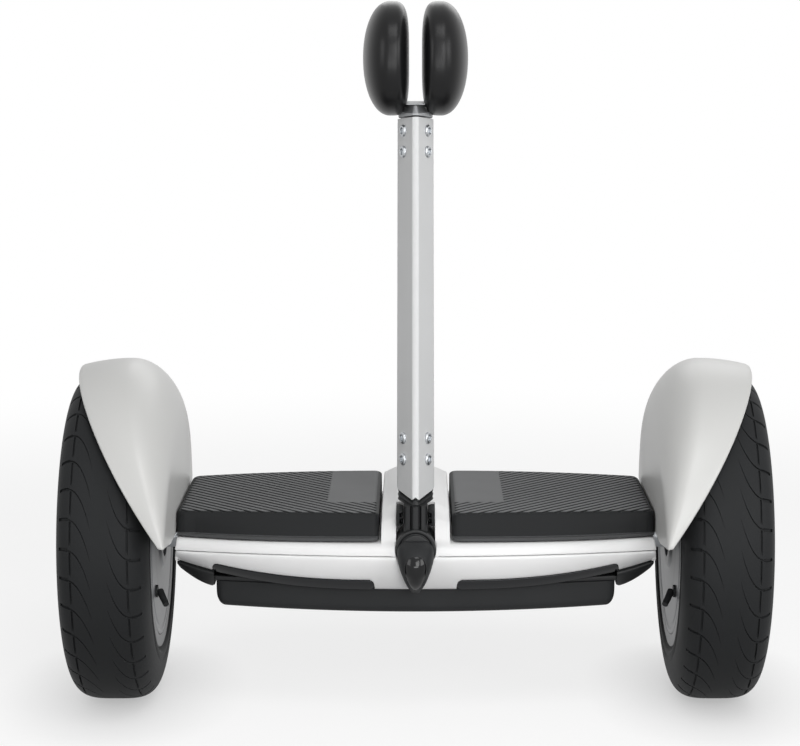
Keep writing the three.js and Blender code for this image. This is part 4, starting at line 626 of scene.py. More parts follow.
def lofted(rings):
    """Closed rings of points, one row each, with both ends drawn in to their middles."""
    rings = np.concatenate([rings, rings[:, :1]], axis=1)
    ends = [np.repeat(ring[:-1].mean(0)[None, None], rings.shape[1], axis=1) for ring in (rings[0], rings[-1])]
    return np.concatenate([ends[0], rings, ends[1]])


def rounded_ring(corners, radius, count=4):
    """A closed ring of corners, one array of points each, with each corner cut to a parabola."""
    corners = np.stack(corners, axis=-2)
    before, after = np.roll(corners, 1, axis=-2) - corners, np.roll(corners, -1, axis=-2) - corners
    run_in = np.minimum(radius, np.linalg.norm(before, axis=-1, keepdims=True) * 0.49)
    run_out = np.minimum(radius, np.linalg.norm(after, axis=-1, keepdims=True) * 0.49)
    start, end = corners + unit(before) * run_in, corners + unit(after) * run_out
    bends = bend(start[..., None, :], corners[..., None, :], end[..., None, :],
                 np.linspace(0, 1, count + 1)[:, None])
    return bends.reshape(*bends.shape[:-3], -1, bends.shape[-1])


def bar(corners, radius, count=4):
    """A bar whose corners are (x, y, z), each a number or a row of them along the bar, with its long
    edges rounded and its ends closed."""
    return lofted(rounded_ring([stacked(*corner) for corner in corners], radius, count))


fin_start, fin_end, fin_low, fin_rise, fin_inside = 157.5, 186.6, 102.2, 15.0, 183.6
plate_low, plate_top, plate_half, plate_inset = 108.3, 112.0, 162.0, 14.0


def fin_rings():
    """The fin's section in each plane across the axle, its lower edge rising outward by a power. Past the
    inside of the skirt's end only the part below the skirt is left."""
    x = np.concatenate([np.linspace(fin_start, fin_inside - 0.1, 14), np.linspace(fin_inside, fin_end, 6)])
    share = (x - fin_start) / (fin_end - fin_start)
    ends = np.sin(np.clip(np.minimum(share, 1 - share) * 12, 0, 1) * np.pi / 2)
    low = fin_low + fin_rise * share ** 1.6 + 1.2 * (1 - ends)
    below = skirt_low(x) - gap
    high = np.where(x < fin_inside, axle_z - 0.15, below)
    front, rear = deck_front(x) + skirt_tuck, deck_rear(x) - skirt_tuck
    knee = np.maximum(low + 3, below - 3)
    corners = [(x, front + 3.3, high), (x, front + 3.3, below), (x, front + 0.3, knee), (x, front + 8, low),
               (x, rear - 8, low), (x, rear - 0.3, knee), (x, rear - 3.3, below), (x, rear - 3.3, high)]
    return bar(corners, 3.0, 5)


def plate_rings():
    """The plate's section along the deck, its front and rear edges following the skirt."""
    x = np.linspace(-plate_half, plate_half, 41)
    front, rear = deck_front(x) + plate_inset, deck_rear(x) - plate_inset
    return bar([(x, front, plate_low), (x, front, plate_top), (x, rear, plate_top), (x, rear, plate_low)], 1.0)


# Cast magnesium under a black coat: a satin black with pebbles about 0.8 mm across.
cast_black = skinned("cast_magnesium_black", ("#191a1b", "#202122"), (30.0, 4.0),
                     {"Roughness": 0.42, "IOR": 1.5, "Specular IOR Level": 0.3},
                     ("ShaderNodeTexVoronoi", {"Scale": 1 / 0.0008}, 0.15, 0.0001))

# The housing that holds the pivot's bushes rises from the plate into the spine.
housing_half, housing_front, housing_rear, pivot_z = 17.0, -38.6, 16.0, 139.0
housing_low, housing_top = plate_top - 3, pivot_z + housing_half
housing_y = np.linspace(housing_front, housing_rear, 5)
housing = bar([(housing_half, housing_y, housing_low), (housing_half, housing_y, housing_top),
               (-housing_half, housing_y, housing_top), (-housing_half, housing_y, housing_low)], 4.0)
chassis_grids = [plate_rings(), fin_rings(), fin_rings() * (-1, 1, 1), housing]
piece("chassis_casting", chassis_grids, cast_black, "chassis", "cast_black", ("chassis_frame",), crease=40)

case_half, case_low, case_bow, case_top, case_side, case_chamfer = 156.0, 85.5, 2.0, 108.0, 96.75, 7.0
case_front_inset, case_rear_inset, case_end_draw = 14.0, 24.0, 3.0


def round_draw(share):
    """How far a quarter circle has drawn in at a share of its run: level at first, steep at the end."""
    return 1 - np.sqrt(1 - share ** 2)


def case_rings():
    """The case's section along the deck: its bottom bows up as a parabola, its ends are a quarter round."""
    end = np.linspace(0, 1, 9)
    x = np.concatenate([-case_half + case_chamfer * (1 - np.cos(end * np.pi / 2)),
                        np.linspace(-case_half + case_chamfer, case_half - case_chamfer, 61)[1:-1],
                        case_half - case_chamfer * (1 - np.cos(end[::-1] * np.pi / 2))])
    over = np.clip((np.abs(x) - case_half + case_chamfer) / case_chamfer, 0, 1)
    low = case_low + case_bow * (x / case_half) ** 2
    low = low + (case_side - case_low - case_bow) * round_draw(over)
    pulled = case_end_draw * round_draw(over)
    front, rear = deck_front(x) + case_front_inset + pulled, deck_rear(x) - case_rear_inset - pulled
    radii = [[0.8], [case_chamfer], [case_chamfer], [0.8]]
    return bar([(x, front, case_top), (x, front, low), (x, rear, low), (x, rear, case_top)], radii, 8)


# Moulded ABS, black: a spark-eroded grain takes the gloss down to satin. The grain is about 0.2 mm, drawn at
# 0.5 mm so that it shows.
black_abs = skinned("moulded_abs_black", ("#28292a", "#2f3031"), (18.0, 3.0),
                    {"Roughness": 0.5, "IOR": 1.54, "Specular IOR Level": 0.12},
                    ("ShaderNodeTexNoise", {"Scale": 1 / 0.0005, "Detail": 2.0}, 0.12, 0.0001))
piece("battery_case_skin", [case_rings()], black_abs, "chassis", "black_plastic", ("battery_case",), crease=40)

# Deck shell.
# The deck is a painted ABS shell, a cleaner white than the fenders: a flat ledge that carries the mats, and
# a raised spine between them. Its rear face turns down past the seam, and a slot in front takes the neck.

shell_wall, ledge_run, side_round, seam_gap = 3.0, 8.0, 1.5, 0.3
spine_half, slot_half, slot_mouth, slot_rear = 26.5, 15.9, 15.0, -42.0
spine_level, spine_slope_run, spine_slope_drop = 14.0, 10.5, 0.18
spine_edge_run, spine_edge_drop, spine_foot_run = 2.2, 0.08, 2.0
mouth_over_pivot, slot_edge_x, slot_edge_y = 4.5, 0.15, 0.2
spine_rows = np.array([(-84, 142.5), (-82, 143.6), (-78, 148.5), (-68.5, 160.1), (-60, 164.2), (-54, 165.8),
                       (-46, 167), (104, 167), (108, 163.5), (110.5, 157.75), (114, 148), (116, 144),
                       (118, 142.5)])


def quarter(share):
    """The height of a quarter circle at a share of its run: it starts steeply and ends level."""
    return np.sqrt(1 - (1 - share) ** 2)


def spine_lift(y):
    """How high the spine stands over the ledge: straight runs between its rows, averaged over 3 mm."""
    reach = np.linspace(-1.6, 1.6, 7)
    return np.mean([np.interp(y + step, *spine_rows.T) for step in reach], axis=0) - deck_top_z


def across_spine(x):
    """The spine's section: a level top, a sloping shoulder, a rounded edge and a steep side with a foot."""
    size = np.abs(x)
    slope = np.clip((size - spine_level) / spine_slope_run, 0, 1)
    shoulder = 1 - spine_slope_drop * slope ** 1.25
    edge = np.clip((size - spine_half + spine_edge_run) / spine_edge_run, 0, 1)
    top = shoulder - spine_edge_drop * round_draw(edge)
    foot = np.clip((size - spine_half) / spine_foot_run, 0, 1)
    return np.where(size <= spine_half, top, spine_edge_drop * (1 - foot) ** 2)


def deck_height(x, y):
    """The deck's top: quarter-ellipse edges, the ledge, the spine on it, and the slot's round floor."""
    front_share = np.clip((y - deck_front(x)) / ledge_run, 0, 1)
    rear_share = np.clip((deck_rear(x) - y) / ledge_run, 0, 1)
    bottom = seam_z + seam_gap
    side_share = np.clip((deck_end - np.abs(x)) / side_round, 0, 1)
    edges = quarter(np.minimum(front_share, rear_share)), quarter(side_share)
    surface = bottom + (deck_top_z - bottom) * edges[0] * edges[1]
    surface = surface + spine_lift(y) * across_spine(x)
    half = np.where(surface < pivot_z + mouth_over_pivot, slot_half, slot_mouth)
    inside = np.clip((half + slot_edge_x - np.abs(x)) / slot_edge_x, 0, 1)
    inside = inside * np.clip((slot_rear + slot_edge_y - y) / slot_edge_y, 0, 1)
    slot_floor = pivot_z - np.sqrt(np.maximum(slot_half ** 2 - x ** 2, 0))
    return surface + (np.minimum(slot_floor, surface) - surface) * inside


half_columns = np.concatenate([
    [0, 3, 6, 9, 12, 14, 14.6, 15.0, 15.15, 15.3, 15.6, 15.9, 16.05, 16.2, 16.6, 17.5, 19, 21, 22.5, 23.5,
     24.2, 24.8, 25.3, 25.7, 26.0, 26.2, 26.35, 26.45, 26.5, 26.6, 26.9, 27.4, 28, 28.6],
    np.linspace(32, 184, 39), [185.7, 186.1, 186.5, 186.8, 187.0, 187.12, 187.2]])
columns = np.concatenate([-half_columns[:0:-1], half_columns])
turn = np.linspace(0, np.pi / 2, 10)
edge_run = ledge_run * (1 - np.cos(turn))
rows_y = np.concatenate([
    front_y + edge_run, np.arange(-81, -44, 1.0), [-43.2, -42.4, -42.0, -41.8, -41.5, -40.5],
    np.arange(-38, 100, 6.0), np.arange(101, 116, 1.0), (rear_y - edge_run)[::-1]])
depth_share = (rows_y - front_y) / (rear_y - front_y)
deck_x = np.broadcast_to(columns[None, :], (len(rows_y), len(columns)))
deck_y = deck_front(deck_x) + depth_share[:, None] * (deck_rear(deck_x) - deck_front(deck_x))
deck_top = stacked(deck_x, deck_y, deck_height(deck_x, deck_y))
under_x = np.clip(deck_x, shell_wall - deck_end, deck_end - shell_wall)
under_y = np.clip(deck_y, deck_front(under_x) + shell_wall, deck_rear(under_x) - shell_wall)
steps = (-shell_wall * 0.8, 0, shell_wall * 0.8)
under_z = np.min([deck_height(under_x + dx, under_y + dy) for dx in steps for dy in steps], axis=0)
under_z = under_z - shell_wall * 0.8
in_slot = (np.abs(under_x) < slot_half + shell_wall) & (under_y < slot_rear + shell_wall)
slot_floor_low = 100.0
under_floor = np.where(in_slot, slot_floor_low, seam_z + seam_gap)
deck_under = stacked(under_x, under_y, np.maximum(under_z, under_floor))


def bridged(outer, inner):
    """Two grids of like size and the strips that join their four borders."""
    borders = (np.s_[0], np.s_[-1], np.s_[:, 0], np.s_[:, -1])
    return [outer, inner, *[np.stack([outer[where], inner[where]]) for where in borders]]


# The band is the skirt below the seam in front, and the deck's own rear face behind.
band_wall, band_corner = 3.0, 2.5


def band_path(sign):
    """Half the deck's outline, from the side at the axle round one corner, along the edge and back."""
    edge = deck_front if sign < 0 else deck_rear
    corner_y = edge(np.array(deck_end))
    right = np.concatenate([np.linspace(14.5, 16, 7), np.linspace(16.4, 30, 8), np.linspace(31, 32.4, 6),
                            np.linspace(33, deck_end - band_corner, 60)])
    x = np.concatenate([-right[::-1], np.linspace(-13.5, 13.5, 19), right])
    front = np.stack([x, edge(x)], axis=1)
    start, knee = np.array([[-deck_end, corner_y - sign * band_corner], [-deck_end, corner_y]])
    turning = bend(start, knee, front[0], np.linspace(0, 1, 7)[:-1, None])
    side = np.stack([np.full(6, -deck_end), np.linspace(sign * 0.15, corner_y - sign * 5, 6)], axis=1)
    left = np.concatenate([side, turning])
    return np.concatenate([left, front, (left * (-1, 1))[::-1]])


lens_end_round, lens_low_height, lens_taper = 3.4, 7.6, 1.0


def lens_height(x, inner, outer):
    """The height of a light strip: it tapers outward from its inner end."""
    return lens_low_height + lens_taper * (outer - np.abs(x)) / (outer - inner)


def band_low(x, inner, outer):
    """The band's lower edge, raised over a light strip by a quarter ellipse at each end."""
    size = np.abs(x)
    into = np.clip(np.minimum(size - inner + gap, outer + gap - size) / lens_end_round, 0, 1)
    return skirt_low(x) + (lens_height(x, inner, outer) - gap) * quarter(into)


def band_rings(sign, inner, outer, top_z):
    """The band's closed section at each place on its path: outer face, lower lip, inner face, top."""
    path = band_path(sign)
    x, y = path.T
    low = band_low(x, inner, outer)
    top = np.full_like(x, top_z)
    if sign < 0:
        top = np.minimum(top, pivot_z - np.sqrt(np.maximum(slot_half ** 2 - x ** 2, 0)))
    across = np.array([0, 0.02, 0.06, 0.12, 0.2, 0.3, 0.4, 0.5, 0.6, 0.7, 0.8, 0.88, 0.94, 0.98, 1.0])
    lip = np.array([1.3, 0.6, 0.2, 0.05, 0, 0, 0, 0, 0, 0, 0, 0, 0.1, 0.3, 0.7])
    z = top[:, None] + (low - top)[:, None] * across
    depth = skirt_in(x[:, None], np.maximum(z, skirt_low(x)[:, None]))
    along = np.gradient(path, axis=0)
    facing = unit(np.stack([along[:, 1], -along[:, 0]], axis=1))
    facing = facing * np.sign((facing * path).sum(axis=1, keepdims=True))
    forward = np.abs(facing[:, 1:2])
    faces = [stacked(x[:, None] - facing[:, :1] * drawn,
                     y[:, None] - sign * forward * depth - facing[:, 1:] * drawn, z)
             for drawn in (lip, band_wall)]
    return lofted(np.concatenate([faces[0], faces[1][:, ::-1]], axis=1))


tail_inner, tail_outer, lens_inner, lens_outer = 62.0, 150.0, 32.0, 158.0
# The seam is 0.3 mm wide, drawn at 0.8 mm so that it shows.
seam_shadow = 0.5
rear_band = band_rings(1, tail_inner, tail_outer, seam_z + seam_gap)
front_band = band_rings(-1, lens_inner, lens_outer, seam_z - seam_shadow)
piece("deck_shell_skin", bridged(deck_top, deck_under), white_paint, "chassis", "shell_white",
      ("deck_shell",), crease=38)
rear_skirt = piece("deck_shell_rear_skin", [rear_band], white_paint, "chassis", "shell_white", ("deck_shell",),
                   crease=38)
piece("front_skirt_skin", [front_band], white_paint, "chassis", "shell_white", ("front_skirt",), crease=38)


def turned_along_y(profile, count, x, z):
    """A profile of (radius, y) rows turned about a line along Y, as a closed grid."""
    angle = full_turn(count)
    radius, along = np.array(profile, float).T[:, :, None]
    return stacked(x + radius * np.sin(angle), along, z + radius * np.cos(angle))


# The charge socket's hole is bored through the rear of the band.
socket_x, socket_drop, socket_hole, hole_from, hole_to = 36.0, 12.0, 8.3, 60.0, 160.0
hole_profile = [(0.0, hole_from), (socket_hole, hole_from), (socket_hole, hole_to), (0.0, hole_to)]
drill = blank_shell("socket_drill", [turned_along_y(hole_profile, 64, socket_x, seam_z - socket_drop)])
bore = rear_skirt.modifiers.new("bore", "BOOLEAN")
bore.operation, bore.solver, bore.object = "DIFFERENCE", "EXACT", drill
bpy.context.view_layer.update()
bored = bpy.data.meshes.new_from_object(rear_skirt.evaluated_get(bpy.context.evaluated_depsgraph_get()))
rear_skirt.modifiers.clear()
rear_skirt.data = bored
close_up(bored)
bpy.data.objects.remove(drill)

# Foot mats.
# Each mat is one moulded rubber tray that floats on springy domes over the rider's sensor. Slanted ribs
# cover its top but for a smooth patch in the inner rear corner, and a thin lip runs round its foot.

mat_inner, mat_outer, mat_low, mat_top = 28.5, 186.4, 143.8, 163.0
lip_height, lip_corner, mat_edge, lip_front_y, foot_front_y = 2.2, 7.0, 3.0, -80.0, -76.0
patch_edge_x, patch_edge_y, lip_behind, side_drop = 70.8, -25.0, 10.0, 0.7
rib_run, cells_per_rib = 9.3, 12
rib_depth, ridge_cells, slope_cells = 1.2, 6, 1
cell = rib_run / cells_per_rib


def mat_share(x):
    """How far a place lies from the mat's inner side to its outer side."""
    return (x - mat_inner) / (mat_outer - mat_inner)


def mat_top_front(x):
    """The front edge of the level top, in plan."""
    return -65 + 10 * mat_share(x)


def mat_top_rear(x):
    """The rear edge of the level top, in plan: a parabola."""
    return 104.5 - 24 * mat_share(x) ** 2


def mat_sweep(x):
    """How far the mat's front sweeps back on its way outward: a power of the distance from the spine."""
    return 21 * mat_share(x) ** 2.7


def corner_draw(x):
    """How far a quarter round draws the lip's edge in at its inner corners."""
    corner = 1 - np.clip((x - mat_inner) / lip_corner, 0, 1)
    return lip_corner * round_draw(corner)


brow_run = np.array([-3, -2.3, -1.4, -0.3, 1.2, 3.0])
brow_rise = np.array([158.8, 160.2, 161.4, 162.3, 162.85, 163.0])


def mat_height(x, y):
    """The mat's top: a slope up from the lip, a rounded brow, ribs at 45 degrees and the smooth patch."""
    from_side = np.minimum(x - mat_inner, mat_outer - x)
    drawn = mat_edge * np.interp(from_side, [0, 0.7, 1.5, 3.2, 6], [1, 0.62, 0.4, 0.13, 0])
    front = mat_top_front(x) + drawn
    rear = mat_top_rear(x) - drawn
    foot = foot_front_y + mat_sweep(x) + drawn
    lower, past_front, past_rear = mat_low + lip_height / 2, y - front, rear - y
    run = np.maximum(front + brow_run[0] - foot, 1.0)
    rise, fall = [
        np.where(past > brow_run[0], np.interp(past, brow_run, brow_rise),
                 brow_rise[0] + (brow_rise[0] - lower) * (past - brow_run[0]) / slope_run)
        for past, slope_run in ((past_front, run), (past_rear, -brow_run[0]))]
    block = np.minimum(rise, fall) - side_drop * drawn
    phase = np.mod((y - x) / cell, cells_per_rib)
    groove = np.minimum(np.clip((phase - ridge_cells) / slope_cells, 0, 1),
                        np.clip((cells_per_rib - phase) / slope_cells, 0, 1))
    patch = np.clip((patch_edge_x - x) / cell, 0, 1) * np.clip((y - patch_edge_y) / cell, 0, 1)
    inside = np.clip((past_front + 0.5) / cell, 0, 1) * np.clip((past_rear - 2) / cell, 0, 1) * np.clip(
        (from_side - 2.2) / cell, 0, 1)
    return np.maximum(block - rib_depth * groove * inside * (1 - patch), mat_low + lip_height)


mat_x = np.append(np.arange(mat_inner, mat_outer, cell), mat_outer)[None, :]
mat_y = np.arange(lip_front_y, mat_top_rear(mat_inner) + lip_behind + cell, cell)[:, None]
mat_x, mat_y = np.broadcast_arrays(mat_x, mat_y)
mat_y = np.clip(mat_y, lip_front_y + mat_sweep(mat_x) + corner_draw(mat_x),
                mat_top_rear(mat_x) + lip_behind - corner_draw(mat_x))
mat_surface = stacked(mat_x, mat_y, mat_height(mat_x, mat_y))
rim = np.concatenate([mat_surface[0], mat_surface[1:, -1], mat_surface[-1, -2::-1], mat_surface[-2::-1, 0]])
outer_foot = rim * (1, 1, 0) + (0, 0, mat_low)
tray_wall, mat_thick = 5.0, 3.8
inner_x = np.clip(rim[:, 0], mat_inner + tray_wall, mat_outer - tray_wall)
inner_y = np.clip(rim[:, 1], foot_front_y + mat_sweep(inner_x) + 2 * tray_wall, mat_top_rear(inner_x))
inner_foot = stacked(inner_x, inner_y, mat_low)
ceiling_x = np.clip(inner_x, mat_inner + tray_wall + 2, mat_outer - tray_wall - 2)
ceiling_y = np.clip(inner_y, mat_top_front(ceiling_x) + 2 * tray_wall, mat_top_rear(ceiling_x) - tray_wall)
ceiling = stacked(ceiling_x, ceiling_y, mat_top - mat_thick)
mat_grids = [mat_surface, np.stack([rim, outer_foot, inner_foot, ceiling])]

# Moulded rubber: a mid grey on the rib tops, with painted shade that makes the grooves and the sides much
# darker, and the lip at the foot a paler grey than the sides.
mat_rubber, tree, place = blank("moulded_mat_rubber")
height = node(tree, "ShaderNodeSeparateXYZ", {0: place}).outputs["Z"]
# Painted shade: only the rib tops, within about half a millimetre of the top, keep the rubber's grey, and all
# below is painted darker.
on_top = node(tree, "ShaderNodeMapRange", {"Value": height, "From Min": (mat_top - 0.55) * metres,
                                           "From Max": (mat_top - 0.12) * metres})
bloom = node(tree, "ShaderNodeTexNoise", {"Vector": place, "Scale": 35.0, "Detail": 4.0})
rib_top_grey = node(tree, "ShaderNodeMix", {0: bloom.outputs["Fac"], 6: colour("#626364"), 7: colour("#6b6c6d")},
            data_type="RGBA")
on_lip = node(tree, "ShaderNodeMapRange", {"Value": height, "From Min": (mat_low + lip_height + 0.6) * metres,
                                           "From Max": (mat_low + lip_height + 0.1) * metres})
# The painted shade of the grooves and sides is near black, and the lip at the foot takes a paler grey.
side = node(tree, "ShaderNodeMix", {0: on_lip.outputs[0], 6: colour("#212223"), 7: colour("#4c4d4e")},
            data_type="RGBA")
tint = node(tree, "ShaderNodeMix", {0: on_top.outputs[0], 6: side.outputs[2], 7: rib_top_grey.outputs[2]},
            data_type="RGBA")
# The rubber's grain is about 0.2 mm, drawn at 0.5 mm so that it shows.
grain = node(tree, "ShaderNodeTexNoise", {"Vector": place, "Scale": 1 / 0.0005, "Detail": 2.0})
bump = node(tree, "ShaderNodeBump", {"Height": grain.outputs["Fac"], "Strength": 0.1, "Distance": 0.0001})
skin = node(tree, "ShaderNodeBsdfPrincipled", {
    "Base Color": tint.outputs[2], "Roughness": 0.62, "IOR": 1.5, "Specular IOR Level": 0.15,
    "Normal": bump.outputs[0]})
node(tree, "ShaderNodeOutputMaterial", {"Surface": skin.outputs[0]})
pair("foot_mat", mat_grids, mat_rubber, ("mat_left", "mat_right"), "mat_rubber", caps=[ceiling], crease=28)

# Light strips.
# Long smoked covers of moulded polycarbonate clip into the front skirt's lower edge and taper outward. A
# red pair does the same at the rear.

lens_drop, lens_thick, lens_bulge, lens_round = 0.6, 5.0, 0.25, 1.1


def lens_rings(sign, inner, outer):
    """A strip's section at each place along it: its height closes by a quarter ellipse at both ends."""
    end = lens_end_round * (1 - np.cos(np.linspace(0.05, np.pi / 2, 9)))
    x = np.concatenate([inner + end, np.linspace(inner + lens_end_round, outer - lens_end_round, 60)[1:-1],
                        (outer - end)[::-1]])
    into = np.clip(np.minimum(x - inner, outer - x) / lens_end_round, 0, 1)
    full = lens_height(x, inner, outer)
    half = full / 2 * quarter(into)
    middle = skirt_low(x) - lens_drop + full / 2
    edge = deck_front(x) if sign < 0 else deck_rear(x)

    def face(z):
        """The strip's face at a height, a gap proud of the skirt's."""
        return edge - sign * (skirt_in(x, np.maximum(z, skirt_low(x))) - gap)

    low, high = middle - half, middle + half
    back = edge - sign * (skirt_in(x, middle) + lens_thick)
    bulge = face(middle) + sign * lens_bulge
    corners = [(x, back, low), (x, face(low), low), (x, bulge, middle), (x, face(high), high), (x, back, high)]
    return bar(corners, lens_round, 5)


def polished_plastic(name, code, roughness):
    """A moulding from a polished mould: a deep colour under a hard gloss, with faint flow lines."""
    made, tree, place = blank(name)
    # Flow lines run along a strip, about 12 mm apart.
    stretch = node(tree, "ShaderNodeMapping", {"Vector": place, "Scale": (0.15, 1.0, 1.0)})
    flow = node(tree, "ShaderNodeTexNoise", {"Vector": stretch.outputs[0], "Scale": 1 / 0.012, "Detail": 1.0})
    bump = node(tree, "ShaderNodeBump", {"Height": flow.outputs["Fac"], "Strength": 0.04, "Distance": 0.0005})
    gloss = node(tree, "ShaderNodeMapRange", {"Value": flow.outputs["Fac"], "To Min": roughness,
                                              "To Max": roughness + 0.05})
    plastic = node(tree, "ShaderNodeBsdfPrincipled", {
        "Base Color": colour(code), "Roughness": gloss.outputs[0], "IOR": 1.58, "Specular IOR Level": 0.25,
        "Normal": bump.outputs[0]})
    node(tree, "ShaderNodeOutputMaterial", {"Surface": plastic.outputs[0]})
    return made


# Polycarbonate: the smoked one reads almost black with a soft highlight, and the red one is deep and clear.
smoked = polished_plastic("smoked_polycarbonate", "#141619", 0.12)
red_clear = polished_plastic("red_polycarbonate", "#8c1518", 0.14)
pair("light_lens", [lens_rings(-1, lens_inner, lens_outer)], smoked, deck_bodies, "smoked_lens", crease=50)
pair("tail_lens", [lens_rings(1, tail_inner, tail_outer)], red_clear, deck_bodies, "red_lens", crease=50)

# Stem.
# A leaning aluminium extrusion with a ridge down its front, sprayed silver white. Its foot is cut on a
# slope, and eight socket screws in its side facets hold the neck below and the bracket above.

stem_foot_y, stem_foot_z, stem_top_z, stem_lean = -60.0, 180.4, 464.9, 11.5
stem_foot_width, stem_top_width, stem_depth, stem_wall = 29.4, 28.5, 40.0, 2.2
foot_slope, top_slope, foot_sag = 0.1, -0.115, 3.4
facet_angle, ridge_half, ridge_round = 25.0, 2.6, 0.7


def stem_section(width):
    """The stem's closed outline about its own middle: ridge, flat facets, and a rounded back."""
    half, front, back = np.asarray(width) / 2, -stem_depth / 2, stem_depth / 2
    facet_x = half * 0.97
    facet_y = front + ridge_round + (facet_x - ridge_half) / math.tan(math.radians(facet_angle))
    right = [(ridge_half * 0.45, front + ridge_round * 0.25), (ridge_half, front + ridge_round),
             (facet_x, facet_y), (half, facet_y + (back - facet_y) * 0.25),
             (half * 0.93, facet_y + (back - facet_y) * 0.6), (half * 0.7, back - (back - facet_y) * 0.1),
             (half * 0.3, back)]
    loop = right + [(-x, y) for x, y in reversed(right)]
    corners = [stacked(x, y, 0 * half) for x, y in loop]
    rounding = np.array([[r] for r in (1.2, 0.7, 2.5, 5, 6, 5, 5, 5, 5, 6, 5, 2.5, 0.7, 1.2)])
    return rounded_ring(corners, rounding, 5)


def stem_rings(places, inset, slopes, sags=0.0):
    """Sections along the stem's lean. Each point slides along the stem until its height meets a slope,
    less a parabola that dips by the sag in the middle of each facet."""
    width = stem_foot_width + (stem_top_width - stem_foot_width) * places
    loop = stem_section(width)
    loop = loop * (1 - inset / (width[:, None, None] / 2) * (1, stem_foot_width / stem_depth, 0))
    side = np.minimum(np.abs(loop[..., 0]) / (stem_foot_width / 2), 1)
    fall = np.broadcast_to(sags, places.shape)[:, None] * 4 * side * (1 - side)
    share = places[:, None] + (slopes[:, None] * loop[..., 1] - fall) / (stem_top_z - stem_foot_z)
    z = stem_foot_z + (stem_top_z - stem_foot_z) * share
    y = stem_foot_y + (z - stem_foot_z) * math.tan(math.radians(stem_lean)) + loop[..., 1]
    return stacked(loop[..., 0], y, z)


stem_places = np.concatenate([[0, 0.0012], np.linspace(0.02, 0.98, 25), [0.9988, 1]])
stem_slopes = foot_slope + (top_slope - foot_slope) * stem_places
stem_sags = foot_sag * (1 - stem_places)
stem_outer = stem_rings(stem_places, 0.0, stem_slopes, stem_sags)
stem_inner = stem_rings(stem_places, stem_wall, stem_slopes, stem_sags)
stem_tube = np.concatenate([stem_outer, stem_inner[::-1], stem_outer[:1]])
stem_tube = np.concatenate([stem_tube, stem_tube[:, :1]], axis=1)
# Sprayed silver white paint: a pale and even satin.
silver_paint = coated("silver_white_paint", "#d2d3d3", "#d9dadb", 0.45)
piece("stem_tube_skin", [stem_tube], silver_paint, "steering", "stem_paint", ("stem_tube",), crease=30)

screw_x, screw_head, screw_hex = 9.3, 4.7, 2.5
screw_rows = (204.4, 220.6, 439.6, 455.8)


def screw_grid(z, side):
    """A button head with a hexagon socket: rings about the screw's axis, set square on the facet."""
    turn = full_turn(48)[0]
    hexagon = screw_hex / np.cos(np.mod(turn, np.pi / 3) - np.pi / 6)
    round_rows = [(screw_head, -0.6), (screw_head, 0.7), (screw_head * 0.98, 1.1), (screw_head * 0.9, 1.6),
                  (screw_head * 0.78, 1.9), (screw_head * 0.68, 2.0)]
    hex_rows = [(1.08, 2.0), (1.0, 1.8), (1.0, 0.6), (0.0, 0.3)]
    radius = np.array([r + 0 * turn for r, _ in round_rows] + [hexagon * r for r, _ in hex_rows])
    lift = np.array([h for _, h in round_rows + hex_rows])[:, None]
    radius = np.concatenate([0 * radius[:1], radius])
    lift = np.concatenate([lift[:1], lift])
    normal = np.array([math.cos(math.radians(facet_angle)) * side, -math.sin(math.radians(facet_angle)), 0])
    up = np.array([0, math.sin(math.radians(stem_lean)), math.cos(math.radians(stem_lean))])
    up = unit(up - (up @ normal) * normal)
    across = np.cross(normal, up)
    centre_y = stem_foot_y + (z - stem_foot_z) * math.tan(math.radians(stem_lean)) - stem_depth / 2
    seat = np.array([screw_x * side, centre_y + ridge_round
                     + (screw_x - ridge_half) / math.tan(math.radians(facet_angle)), z])
    return (seat + (radius * np.cos(turn))[..., None] * up + (radius * np.sin(turn))[..., None] * across
            + (lift + 0 * turn)[..., None] * normal)


# Zinc plated steel: bright, slightly blue, with fine drawing marks that break up the highlight.
zinc = bare_metal("zinc_plated_steel", "#b4b7ba", "ShaderNodeTexNoise", {"Scale": 1 / 0.0012, "Detail": 3.0},
                  0.25, 0.42)
for number, screw_z in enumerate(screw_rows, 1):
    for side, sign in sides:
        piece(f"stem_screw_{number}_{side}_head", [screw_grid(screw_z, sign)], zinc, "steering", "steel",
              (f"stem_screw_{number}_{side}",), crease=30)

# Steering neck and gaiters.
# The neck is a black casting on the pivot. It fills the slot in the deck between two ribbed rubber
# gaiters, and a slim rib stands down its front face.

neck_half, neck_front, neck_rear, neck_low, neck_top = 9.25, -86.0, -50.0, 139.0, 172.0
neck_outline = [(0.0, neck_front), (1.9, neck_front + 0.1), (2.6, neck_front + 0.8), (2.7, neck_front + 4.5),
                (3.6, neck_front + 4.5), (4.2, neck_front + 2.0), (7.6, neck_front + 2.6),
                (neck_half, neck_front + 5.5), (neck_half, neck_rear)]
neck_outline = neck_outline + [(-x, y) for x, y in reversed(neck_outline[1:])]
neck_z = np.array([neck_low, neck_low + 1, 150, 160, neck_top - 1, neck_top])
neck = bar([(x, y, neck_z) for x, y in neck_outline], 0.8)
collar_profile = softened([(0.01, -88.5), (11.2, -88.5), (11.6, -87.4), (12.6, -87.4), (13.0, -88.5),
                           (15.5, -88.5), (15.5, -52), (0.01, -52)], 0.7, 3)
collar = turned_along_y(collar_profile, 96, 0, pivot_z)
stem_run = stem_top_z - stem_foot_z
head_share = np.linspace(0, 1, 25)
head_low, head_gap, head_inset, head_rib_depth, head_rib_count = 171.2, 1.2, 0.8, 0.5, 2
head_places = ((head_low - stem_foot_z) + (stem_foot_z - head_gap - head_low) * head_share) / stem_run
head_ribs = head_inset + head_rib_depth * (0.5 - 0.5 * np.cos(2 * np.pi * head_rib_count * head_share))
head_slopes = foot_slope + 0 * head_share
